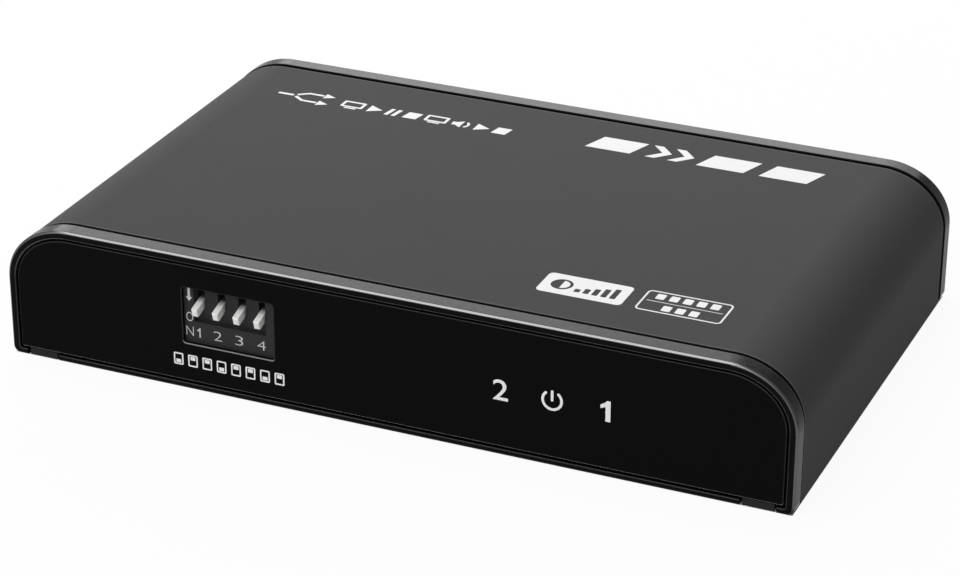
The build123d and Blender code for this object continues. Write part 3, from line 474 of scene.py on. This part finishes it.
# %% Switch and socket plastics
def small_part_plastic(name, colour, shade, roughness, **surface):
    """A small moulding: near colours in a fine mottle, and a dry surface."""
    return moulded_plastic(name, colour, shade, roughness, 0.12, 0.0015, mottle_mm=1.5, **surface)


switch_nylon = small_part_plastic(
    "glass_filled_nylon_grey", "#2e2e2f", "#29292a", 0.60, Specular_IOR_Level=0.15
)
lever_acetal = small_part_plastic("acetal_white", "#f6f6f4", "#ececea", 0.40, Specular_IOR_Level=0.3)
jack_plastic = small_part_plastic("moulded_nylon_black", "#161617", "#111112", 0.42, Specular_IOR_Level=0.3)
insert_plastic = small_part_plastic("liquid_crystal_polymer_black", "#1a1a1b", "#141415", 0.36)

# %% [markdown]
# ## Roots of the levers
#
# Each lever comes out of a narrow slot, and towards the root, where little light reaches, its white
# plastic is greyed by painted shade. The colour falls off over a millimetre about the slot's wall.

# %% Painted shade on the roots
SLOT_WALL_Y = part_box("switch_housing")[0].y + 0.6 * MM
ROOT_SHADE_BLEND = 0.5 * MM

tree = lever_acetal.node_tree
spot = add_node(tree, "ShaderNodeSeparateXYZ", {0: add_node(tree, "ShaderNodeTexCoord")["Object"]})
root_shade = {"Value": spot[1], "From Min": SLOT_WALL_Y - ROOT_SHADE_BLEND, "From Max": SLOT_WALL_Y + ROOT_SHADE_BLEND}
# painted shade: the lever darkens to grey behind the slot's wall
tint_over(tree, add_node(tree, "ShaderNodeMapRange", root_shade)[0], "#3a3a3b")
print("levers grey about", round(SLOT_WALL_Y / MM, 2), "mm")

# %% [markdown]
# ## Metals
#
# A rolled sheet keeps fine lines along the way that it went through the rolls. They are stretched
# noise, drawn about a tenth of a millimetre apart. A plated metal needs only its colour, a metallic value
# of one and a roughness that the lines carry with them.


# %% Plated and rolled metals
def rolled_metal(name, colour, shade, roughness, line_mm=0.12, stretch=(1.0, 0.04, 1.0)):
    """Plated sheet or wire, with faint lines along the way that it was rolled."""
    material, tree, shader, place = start_material(name, Metallic=1.0)
    along = add_node(tree, "ShaderNodeMapping", {"Vector": place, "Scale": stretch})[0]
    lines = {"Vector": along, "Scale": grains(line_mm), "Detail": 2.0}
    lines = add_node(tree, "ShaderNodeTexNoise", lines)[0]
    tones = {0: lines, 6: linear(colour), 7: linear(shade)}
    tint = add_node(tree, "ShaderNodeMix", tones, data_type="RGBA")[2]
    spread = {**NOISE_MIDDLE, "To Min": roughness - 0.06, "To Max": roughness + 0.06}
    gloss = add_node(tree, "ShaderNodeMapRange", {"Value": lines, **spread})[0]
    bump = add_node(tree, "ShaderNodeBump", {"Height": lines, "Distance": 0.001 * MM})[0]
    tree.links.new(tint, shader.inputs["Base Color"])
    tree.links.new(gloss, shader.inputs["Roughness"])
    tree.links.new(bump, shader.inputs["Normal"])
    print(name, colour, "lines", line_mm, "mm")
    return material


socket_nickel = rolled_metal("nickel_plated_rolled_steel", "#b9b7b1", "#a9a7a1", 0.28)
contact_gold = rolled_metal("gold_plated_bronze", "#e8c069", "#d9ad55", 0.22)
contact_tin = rolled_metal("tin_plated_brass", "#c9c7c2", "#b6b4af", 0.30)
screw_zinc = rolled_metal("black_zinc_plated_steel", "#56565a", "#46464a", 0.38, 0.2, (1.0, 1.0, 1.0))
plain_aluminium = rolled_metal("extruded_aluminium", "#cfd0d2", "#bcbdc0", 0.35, 0.15)

# %% [markdown]
# ## What lies inside
#
# The board is glass-epoxy laminate under a green solder mask, with copper tracks that show as
# slightly raised lines. The chips are moulded epoxy, and the lights turn forward through clear acrylic.
# A closed box hides all of it, but someone who opens the model should find it finished.


# %% Solder mask with tracks
def solder_mask(name, track_mm):
    """Green mask over copper tracks at an even spacing, broken up by slow noise."""
    material, tree, shader, place = start_material(name, IOR=1.5, Roughness=0.32)
    courses = {"Vector": place, "Scale": grains(track_mm) / 4, "Mortar Size": 0.03}
    greens = {"Color1": linear("#0f5a32"), "Color2": linear("#0c5230"), "Mortar": linear("#1b7a45")}
    track = add_node(tree, "ShaderNodeTexBrick", {**courses, **greens})
    cloud = add_node(tree, "ShaderNodeTexNoise", {"Vector": place, "Scale": grains(4.0)})[0]
    tones = {0: cloud, 6: track[0], 7: linear("#0e5630")}
    tint = add_node(tree, "ShaderNodeMix", tones, data_type="RGBA")[2]
    bump = add_node(tree, "ShaderNodeBump", {"Height": track[1], "Distance": 0.02 * MM, "Strength": 0.6})[0]
    tree.links.new(tint, shader.inputs["Base Color"])
    tree.links.new(bump, shader.inputs["Normal"])
    print(name, "tracks every", track_mm, "mm")
    return material


board_mask = solder_mask("green_solder_mask_laminate", 1.2)
chip_epoxy = small_part_plastic("moulded_epoxy_black", "#1d1d1e", "#171718", 0.5)
pad_silicone = small_part_plastic("silicone_pad_blue_grey", "#8d97a8", "#838d9e", 0.75)
fired_ceramic = small_part_plastic("fired_ceramic_tan", "#a58a64", "#8f7653", 0.4)
light_resin = small_part_plastic("resin_pale_yellow", "#efe9b8", "#e6dfa6", 0.3)
clear_acrylic = small_part_plastic(
    "polished_acrylic_clear", "#eef3f5", "#e6ecef", 0.08, Transmission_Weight=0.9
)

# %% [markdown]
# ## Who wears which finish
#
# Each part of the frame keeps its shape and only swaps its material.

# %% Dress the parts
finish_of = {
    "top_cover": cover_abs,
    "front_bezel": rim_abs,
    "rear_bezel": rim_abs,
    "front_panel": panel_sheet,
    "rear_panel": panel_sheet,
    "base_plate": base_abs,
    "base_screws": screw_zinc,
    "board_screws": screw_zinc,
    "main_board": board_mask,
    "power_jack_housing": jack_plastic,
    "power_jack_pin": contact_tin,
    "power_jack_spring": contact_tin,
    "switch_housing": switch_nylon,
    "switch_base": switch_nylon,
    "switch_terminals": contact_tin,
    "switch_springs": contact_tin,
    "splitter_chip": chip_epoxy,
    "controller_chip": chip_epoxy,
    "memory_chips": chip_epoxy,
    "voltage_regulators": chip_epoxy,
    "power_inductor": chip_epoxy,
    "heat_pad": pad_silicone,
    "heat_sink": plain_aluminium,
    "clock_crystal": plain_aluminium,
    "bulk_capacitors": plain_aluminium,
    "small_capacitors": fired_ceramic,
    "small_resistors": chip_epoxy,
}
for number in range(1, 5):
    finish_of[f"switch_lever_{number}"] = lever_acetal
for socket in ("input", "output_1", "output_2"):
    finish_of[socket + "_socket_shell"] = socket_nickel
    finish_of[socket + "_socket_insert"] = insert_plastic
    finish_of[socket + "_socket_contacts"] = contact_gold
for light in ("power", "output_1", "output_2"):
    finish_of[light + "_light"] = light_resin
    finish_of[light + "_light_guide"] = clear_acrylic

for name, node in nodes.items():
    node.data.materials.clear()
    node.data.materials.append(finish_of[name])
print("dressed", len(nodes), "parts in", len(set(finish_of.values())), "finishes")

# %% [markdown]
# ## Printed marks
#
# The marks are screen-printed: a film of ink about 0.02 mm thick that stands a hair proud of
# the plastic. An image would go soft close up, so each mark is drawn as flat outlines that are
# filled and given that thickness. Where one outline lies inside another, the ink leaves a hole.

# %% Outlines to draw with
CURVE_STEPS = 10


def arc(x, y, radius, start, end, steps=CURVE_STEPS):
    """Points along a circle, from one angle to another, in degrees."""
    angles = [math.radians(start + (end - start) * i / steps) for i in range(steps + 1)]
    return [(x + radius * math.cos(a), y + radius * math.sin(a)) for a in angles]


def rounded(x, y, width, height, radius):
    """Rectangle with round corners about a middle."""
    w, h = width / 2 - radius, height / 2 - radius
    corners = ((w, h, 0), (-w, h, 90), (-w, -h, 180), (w, -h, 270))
    return [p for cx, cy, start in corners for p in arc(x + cx, y + cy, radius, start, start + 90)]


def frame_line(x, y, width, height, radius, line):
    """Outline of a rounded rectangle, drawn with a line of that width."""
    inside = rounded(x, y, width - 2 * line, height - 2 * line, max(radius - line, line / 4))
    return [rounded(x, y, width, height, radius), inside]


def pen(path, line):
    """Outline of a stroke of even width along a path, with round ends."""
    points = [Vector(p) for p in path]
    left, rear = [], []
    for i, point in enumerate(points):
        way = (points[min(i + 1, len(points) - 1)] - points[max(i - 1, 0)]).normalized() * line / 2
        left.append((point.x - way.y, point.y + way.x))
        rear.append((point.x + way.y, point.y - way.x))
    first, last = points[1] - points[0], points[-1] - points[-2]
    first_angle, last_angle = (math.degrees(math.atan2(v.y, v.x)) for v in (first, last))
    tip = arc(*points[-1], line / 2, last_angle + 90, last_angle - 90)[1:-1]
    tail = arc(*points[0], line / 2, first_angle + 270, first_angle + 90)[1:-1]
    return left + tip + rear[::-1] + tail


def disc(x, y, radius):
    """Full round dot."""
    return arc(x, y, radius, 0, 360, 3 * CURVE_STEPS)[:-1]


print("a stroke has", len(pen([(0, 0), (1, 0)], 0.2)), "points")


# %% From outlines to a film of ink
INK_FILM, INK_WELD = 0.02, 0.0005
INK_MIDDLE = 0.4 * INK_FILM


def ink_film(drawing):
    """Fills a curve's outlines and gives them thickness, as one clean mesh."""
    drawing.dimensions = "2D"
    drawing.fill_mode = "BOTH"
    drawing.extrude = INK_FILM / 2
    holder = bpy.data.objects.new("drawing", drawing)
    mesh = bpy.data.meshes.new_from_object(holder)
    bpy.data.objects.remove(holder)
    return mesh


def drawn(loops):
    """Closed outlines as a filled film."""
    drawing = bpy.data.curves.new("outlines", "CURVE")
    for loop in loops:
        spline = drawing.splines.new("POLY")
        spline.points.add(len(loop) - 1)
        for point, (x, y) in zip(spline.points, loop):
            point.co = (x, y, 0, 1)
        spline.use_cyclic_u = True
    return ink_film(drawing)


def figure(text, x, y, width, height, weight=0.0):
    """One plain figure about a middle, as a filled film of that width and height."""
    drawing = bpy.data.curves.new("figure", "FONT")
    drawing.body = text
    drawing.offset = weight
    mesh = ink_film(drawing)
    low = [min(v.co[i] for v in mesh.vertices) for i in range(2)]
    high = [max(v.co[i] for v in mesh.vertices) for i in range(2)]
    for v in mesh.vertices:
        v.co.x = x + (v.co.x - (low[0] + high[0]) / 2) * width / (high[0] - low[0])
        v.co.y = y + (v.co.y - (low[1] + high[1]) / 2) * height / (high[1] - low[1])
    return mesh


def one(x, y, width, height, stem):
    """The figure one, with a flag at its head, about a middle."""
    left, right = x - width / 2, x + width / 2
    low, top = y - height / 2, y + height / 2
    neck = right - stem
    foot_and_back = [(neck, low), (right, low), (right, top), (right - 0.75 * stem, top)]
    shoulder = (neck - 0.10 * width, top - 0.12 * height)
    flag = [(left, top - 0.22 * height), (left, top - 0.40 * height), (neck, top - 0.30 * height)]
    return foot_and_back + [shoulder] + flag


def print_on(name, films, origin, across, upward, ink, body="case"):
    """Lays films of ink, keyed a little into a face: origin in millimetres, and two directions."""
    across, upward = Vector(across), Vector(upward)
    outward = across.cross(upward)
    turn = Matrix((across, upward, outward)).transposed().to_4x4()
    place = Matrix.Translation(Vector(origin) + outward * INK_MIDDLE)
    gathered = bmesh.new()
    for film in films:
        gathered.from_mesh(film)
        bpy.data.meshes.remove(film)
    bmesh.ops.remove_doubles(gathered, verts=gathered.verts, dist=INK_WELD)
    bmesh.ops.transform(gathered, matrix=Matrix.Scale(MM, 4) @ place @ turn, verts=gathered.verts)
    bmesh.ops.recalc_face_normals(gathered, faces=gathered.faces)
    mesh = bpy.data.meshes.new(name)
    gathered.to_mesh(mesh)
    gathered.free()
    mesh.materials.append(ink)
    piece = bpy.data.objects.new(name, mesh)
    bpy.context.scene.collection.objects.link(piece)
    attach(piece, body)
    print(name, len(mesh.polygons), "faces")


print("ink stands", round(INK_MIDDLE + INK_FILM / 2, 3), "mm proud")


# %% Screen ink
def screen_ink(name, colour, shade, roughness):
    """Screen-printed ink: an opaque film with the faint mesh of the screen in its surface."""
    return moulded_plastic(
        name, colour, shade, roughness, 0.10, 0.002, mottle_mm=0.6, Specular_IOR_Level=0.1
    )


white_ink = screen_ink("screen_ink_white", "#e3e3e3", "#dadada", 0.5)
# painted light: a whiter copy of the white ink brightens the front marks, which the lamps light less
painted_lit_white_ink = screen_ink("screen_ink_white_painted_lit", "#f6f6f6", "#efefef", 0.5)
grey_ink = screen_ink("screen_ink_grey", "#d0d0d0", "#c4c4c4", 0.5)

# %% [markdown]
# ## Marks on the front
#
# Beside the lights stand a 2, a power symbol and a 1. The switch body says ON with an arrow
# and counts its levers, and a row of small rocker pictograms below the window says what they are.
# All places are in millimetres from the middle of the box and up from its foot.

# %% Print the front panel
PANEL_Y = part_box("front_panel")[0].y / MM
ACROSS, UPWARD = (1, 0, 0), (0, 0, 1)
FIGURE_HEIGHT = 2.45
POWER_X, POWER_Z, POWER_RADIUS, POWER_LINE = 19.58, 7.86, 1.08, 0.30
ROCKERS, ROCKER_PITCH, ROW_X, ROW_Z = 8, 1.79, -18.94, 3.56

ring = arc(POWER_X, POWER_Z, POWER_RADIUS, -228, 48, 4 * CURVE_STEPS)
stroke = [(POWER_X, POWER_Z + 0.02), (POWER_X, POWER_Z + 1.05)]
front_films = [
    figure("2", 13.66, 7.83, 1.74, FIGURE_HEIGHT, 0.005),
    drawn([one(25.62, 7.88, 1.14, FIGURE_HEIGHT, 0.56)]),
    drawn([pen(ring, POWER_LINE)]),
    drawn([pen(stroke, POWER_LINE)]),
]
for index in range(ROCKERS):
    rocker_x = ROW_X + (index - (ROCKERS - 1) / 2) * ROCKER_PITCH
    pressed = 0.28 if index % 3 else -0.28
    front_films.append(drawn(frame_line(rocker_x, ROW_Z, 1.20, 1.46, 0.16, 0.17)))
    front_films.append(drawn([rounded(rocker_x, ROW_Z + pressed, 0.62, 0.44, 0.08)]))
print_on("front_panel_print", front_films, (0, PANEL_Y, 0), ACROSS, UPWARD, painted_lit_white_ink)

# %% Print the switch
SWITCH_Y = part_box("switch_housing")[0].y / MM
ARROW_TIP = (-23.90, 10.68)
COUNT_Z, COUNT_HEIGHT, COUNT_WIDTH = 6.98, 1.14, 1.02

half_arrow = ((0.15, 1.62), (0.15, 0.52), (0.40, 0.52))
arrow = [(ARROW_TIP[0] + x, ARROW_TIP[1] + z) for x, z in half_arrow]
arrow += [ARROW_TIP] + [(ARROW_TIP[0] - x, ARROW_TIP[1] + z) for x, z in reversed(half_arrow)]
switch_films = [
    drawn([arrow]),
    figure("O", -23.90, 8.76, 0.86, 1.12, -0.01),
    figure("N", -23.93, 7.00, 0.92, 1.12, -0.015),
    drawn([one(-22.80, 6.97, 0.40, 1.15, 0.17)]),
]
for text, x in zip("234", (-20.47, -17.84, -15.06)):
    switch_films.append(figure(text, x, COUNT_Z, COUNT_WIDTH, COUNT_HEIGHT, -0.015))
print_on("switch_face_print", switch_films, (0, SWITCH_Y, 0), ACROSS, UPWARD, grey_ink)

# %% [markdown]
# ## Marks on the cover
#
# The cover carries plain pictograms: a fork from one to two with a line of small symbols, a block
# that feeds two more, a filled badge with a contrast scale, and an outlined badge with two rows
# of blocks.


# %% Small symbols that lean like the rest
def slanted(x, y, width, height, lean):
    """Parallelogram that leans to the right."""
    w, h = width / 2, height / 2
    return [(x - w - lean, y - h), (x + w - lean, y - h), (x + w + lean, y + h), (x - w + lean, y + h)]


def chevron(x, y, width, height, line):
    """Arrow point that looks right."""
    w, h = width / 2, height / 2
    outside = [(x - w, y + h), (x - w + line, y + h), (x + w, y), (x - w + line, y - h), (x - w, y - h)]
    return outside + [(x + w - line, y)]


def screen(x, y, size):
    """A display on its foot, seen from the front."""
    line = 0.18 * size
    panel = frame_line(x, y + 0.12 * size, 1.5 * size, 0.92 * size, 0.12 * size, line)
    foot = rounded(x, y - 0.48 * size, 0.8 * size, 0.8 * line, 0.3 * line)
    return panel + [foot]


def play(x, y, size):
    """Triangle that points right."""
    return [[(x - 0.42 * size, y - 0.5 * size), (x + 0.5 * size, y), (x - 0.42 * size, y + 0.5 * size)]]


def pause(x, y, size):
    """Two upright bars."""
    return [slanted(x + side * 0.24 * size, y, 0.26 * size, size, 0.08 * size) for side in (-1, 1)]


def stop(x, y, size):
    """Solid square."""
    return [slanted(x, y, 0.92 * size, 0.92 * size, 0.08 * size)]


def loudspeaker(x, y, size):
    """Cone of a loudspeaker with one sound wave."""
    cone = [(-0.6, -0.22), (-0.32, -0.22), (0.05, -0.5), (0.05, 0.5), (-0.32, 0.22), (-0.6, 0.22)]
    cone = [(x + a * size, y + b * size) for a, b in cone]
    return [cone, pen(arc(x, y, 0.46 * size, -45, 45), 0.16 * size)]


print("a screen has", len(screen(0, 0, 1)), "outlines")

# %% Draw the fork, the big blocks and the symbols
BIG_Y, BIG_HEIGHT, LEAN = 19.4, 3.5, 0.6
SYMBOL_SIZE, SYMBOL_GAP, SYMBOLS_X, SYMBOLS_Y = 1.95, 0.66, -27.1, 17.75

blocks = ((8.2, 5.6), (22.2, 5.8), (29.9, 5.8))
one_to_two = [slanted(x, BIG_Y, width, BIG_HEIGHT, LEAN) for x, width in blocks]
one_to_two += [chevron(x, BIG_Y, 2.8, BIG_HEIGHT, 1.2) for x in (13.7, 16.5)]
fork = [[pen([(-35.6, 17.9), (-33.9, 17.9)], 0.46)]]
for prong_y, tip_y in ((18.25, 19.05), (17.55, 16.75)):
    fork.append([pen([(-33.2, prong_y), (-32.1, tip_y), (-30.3, tip_y)], 0.42)])
    fork.append([[(-30.0, tip_y - 0.70), (-28.6, tip_y), (-30.0, tip_y + 0.70)]])
cover_films = [drawn(one_to_two)] + [drawn(loops) for loops in fork]

line_of_symbols = [(screen, 1.5), (play, 0.9), (pause, 0.9), (stop, 1.05)]
line_of_symbols += [(screen, 1.5), (loudspeaker, 1.2), (play, 0.9), (stop, 1.05)]
symbol_x = SYMBOLS_X
for symbol, width in line_of_symbols:
    cover_films.append(drawn(symbol(symbol_x + width * SYMBOL_SIZE / 2, SYMBOLS_Y, SYMBOL_SIZE)))
    symbol_x += width * SYMBOL_SIZE + SYMBOL_GAP
print("symbols end at", round(symbol_x - SYMBOL_GAP, 2), "mm")

# %% Draw the badges and print the cover
COVER_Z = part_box("top_cover")[1].z / MM
BADGE_X, BADGE_Y, BADGE_FOOT = 19.1, -18.25, -19.45
FRAME_X, FRAME_Y = 30.35, -18.1

badge = [rounded(BADGE_X, BADGE_Y, 9.8, 4.7, 0.6), disc(16.45, BADGE_Y, 1.25)]
badge.append(arc(16.45, BADGE_Y, 0.9, -90, 90))
for index in range(5):
    height = 0.8 + 0.4 * index
    badge.append(rounded(18.5 + 1.02 * index, BADGE_FOOT + height / 2, 0.66, height, 0.12))
cover_films.append(drawn(badge))
cover_films.append(drawn(frame_line(FRAME_X, FRAME_Y, 9.7, 4.9, 0.6, 0.21)))
for count, start_x, row_y in ((5, 27.25, -16.85), (3, 28.8, -19.35)):
    for index in range(count):
        cover_films.append(drawn([rounded(start_x + 1.55 * index, row_y, 1.0, 1.25, 0.15)]))
print_on("cover_print", cover_films, (0, 0, COVER_Z), (1, 0, 0), (0, 1, 0), white_ink)
divider = [drawn([rounded(FRAME_X, FRAME_Y, 8.6, 0.12, 0.05)])]
print_on("cover_fine_print", divider, (0, 0, COVER_Z), (1, 0, 0), (0, 1, 0), grey_ink)

# %% [markdown]
# ## Marks on the back
#
# Seen from behind, X runs to the left, so the print's own across direction is turned round.
# An arrow into a tray marks the input, arrows out of one mark the outputs with their numbers,
# and the usual plug symbol stands beside the power jack.

# %% Draw a tray with an arrow
MARK_Z = 12.3


def tray_arrow(x, points_in):
    """An arrow into a tray, or out of one."""
    head = 1 if points_in else -1
    tray = [(-1.0, 0.1), (-1.0, -0.8), (1.0, -0.8), (1.0, 0.1)]
    tray = [(x + a, MARK_Z + b) for a, b in tray]
    tip = MARK_Z + 0.45 - 0.75 * head
    neck, tail = tip + 0.6 * head, tip + 1.3 * head
    arrow = [(x - 0.5, neck), (x + 0.5, neck), (x, tip)]
    shaft = [(x - 0.1, neck), (x + 0.1, neck), (x + 0.1, tail), (x - 0.1, tail)]
    return [drawn([pen(tray, 0.2)]), drawn([arrow]), drawn([shaft])]


print("tray marks", MARK_Z, "mm up")

# %% Print the back
REAR_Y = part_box("rear_panel")[1].y / MM
TRAY_ASIDE, NUMBER_ASIDE, NUMBER_HEIGHT = 1.4, 1.6, 1.8
PLUG_X, PLUG_Z, POLE_APART = -24.45, 9.0, 2.2

socket_x = {}
for name in ("input", "output_1", "output_2"):
    low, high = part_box(name + "_socket_shell")
    socket_x[name] = (low.x + high.x) / 2 / MM
rear_films = tray_arrow(-socket_x["input"], True)
for name in ("output_1", "output_2"):
    rear_films += tray_arrow(-socket_x[name] - TRAY_ASIDE, False)
first_x, second_x = (-socket_x[name] + NUMBER_ASIDE for name in ("output_1", "output_2"))
rear_films.append(drawn([one(first_x, MARK_Z, 0.85, NUMBER_HEIGHT, 0.42)]))
rear_films.append(figure("2", second_x, MARK_Z, 1.25, NUMBER_HEIGHT, 0.03))
rear_films += [
    drawn([disc(PLUG_X, PLUG_Z, 0.34)]),
    drawn([pen(arc(PLUG_X, PLUG_Z, 0.72, 40, 320, 3 * CURVE_STEPS), 0.16)]),
    drawn([rounded(PLUG_X + 0.95, PLUG_Z, 1.1, 0.16, 0.05)]),
    drawn([rounded(PLUG_X - 1.2, PLUG_Z, 0.8, 0.16, 0.05)]),
]
for pole_x in (PLUG_X - POLE_APART, PLUG_X + POLE_APART):
    rear_films.append(drawn([disc(pole_x, PLUG_Z, 0.62), disc(pole_x, PLUG_Z, 0.48)]))
    rear_films.append(drawn([rounded(pole_x, PLUG_Z, 0.6, 0.12, 0.04)]))
rear_films.append(drawn([rounded(PLUG_X + POLE_APART, PLUG_Z, 0.12, 0.6, 0.04)]))
print_on("rear_panel_print", rear_films, (0, REAR_Y, 0), (-1, 0, 0), UPWARD, white_ink)

# %% [markdown]
# ## Spring leaves in the sockets
#
# Each socket's shell has four thin tongues, cut free on three sides and bent inward, that press on
# the plug. They are swept here as shallow arches of sheet, two under the roof and two on the floor.


# %% Bend one leaf
LEAF_LIFT = 0.01


def bent_leaf(leaves, x, front, surface, inward, length=6.0, width=1.5, bow=0.32, sheet=0.12, steps=12):
    """Adds one arched strip to a mesh: it starts and ends on the shell and bows into the mouth."""
    rows = []
    for i in range(steps + 1):
        y = front - length * i / steps
        z = surface + inward * (bow * math.sin(math.pi * i / steps) + LEAF_LIFT)
        corners = ((-width / 2, 0), (width / 2, 0), (width / 2, sheet), (-width / 2, sheet))
        rows.append([leaves.verts.new(((x + a) * MM, y * MM, (z + inward * b) * MM)) for a, b in corners])
    for near, far in zip(rows, rows[1:]):
        for i in range(4):
            leaves.faces.new((near[i], near[(i + 1) % 4], far[(i + 1) % 4], far[i]))
    leaves.faces.new(rows[0])
    leaves.faces.new(rows[-1][::-1])


print("a leaf lifts", LEAF_LIFT, "mm off the shell at its ends")

# %% Put four leaves in each mouth
MOUTH_HEIGHT, LEAF_ASIDE, LEAF_SET_BACK = 4.55, 3.0, 1.2

for name, x in socket_x.items():
    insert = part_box(name + "_socket_insert")
    middle_z = (insert[0].z + insert[1].z) / 2 / MM
    mouth_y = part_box(name + "_socket_shell")[1].y / MM
    leaves = bmesh.new()
    for inward in (-1, 1):
        wall_z = middle_z - inward * MOUTH_HEIGHT / 2
        for side in (-1, 1):
            bent_leaf(leaves, x + side * LEAF_ASIDE, mouth_y - LEAF_SET_BACK, wall_z, inward)
    bmesh.ops.recalc_face_normals(leaves, faces=leaves.faces)
    mesh = bpy.data.meshes.new(name + "_spring_leaves")
    leaves.to_mesh(mesh)
    leaves.free()
    mesh.materials.append(socket_nickel)
    piece = bpy.data.objects.new(name + "_spring_leaves", mesh)
    bpy.context.scene.collection.objects.link(piece)
    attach(piece, "case")
    print(piece.name, len(mesh.polygons), "faces")
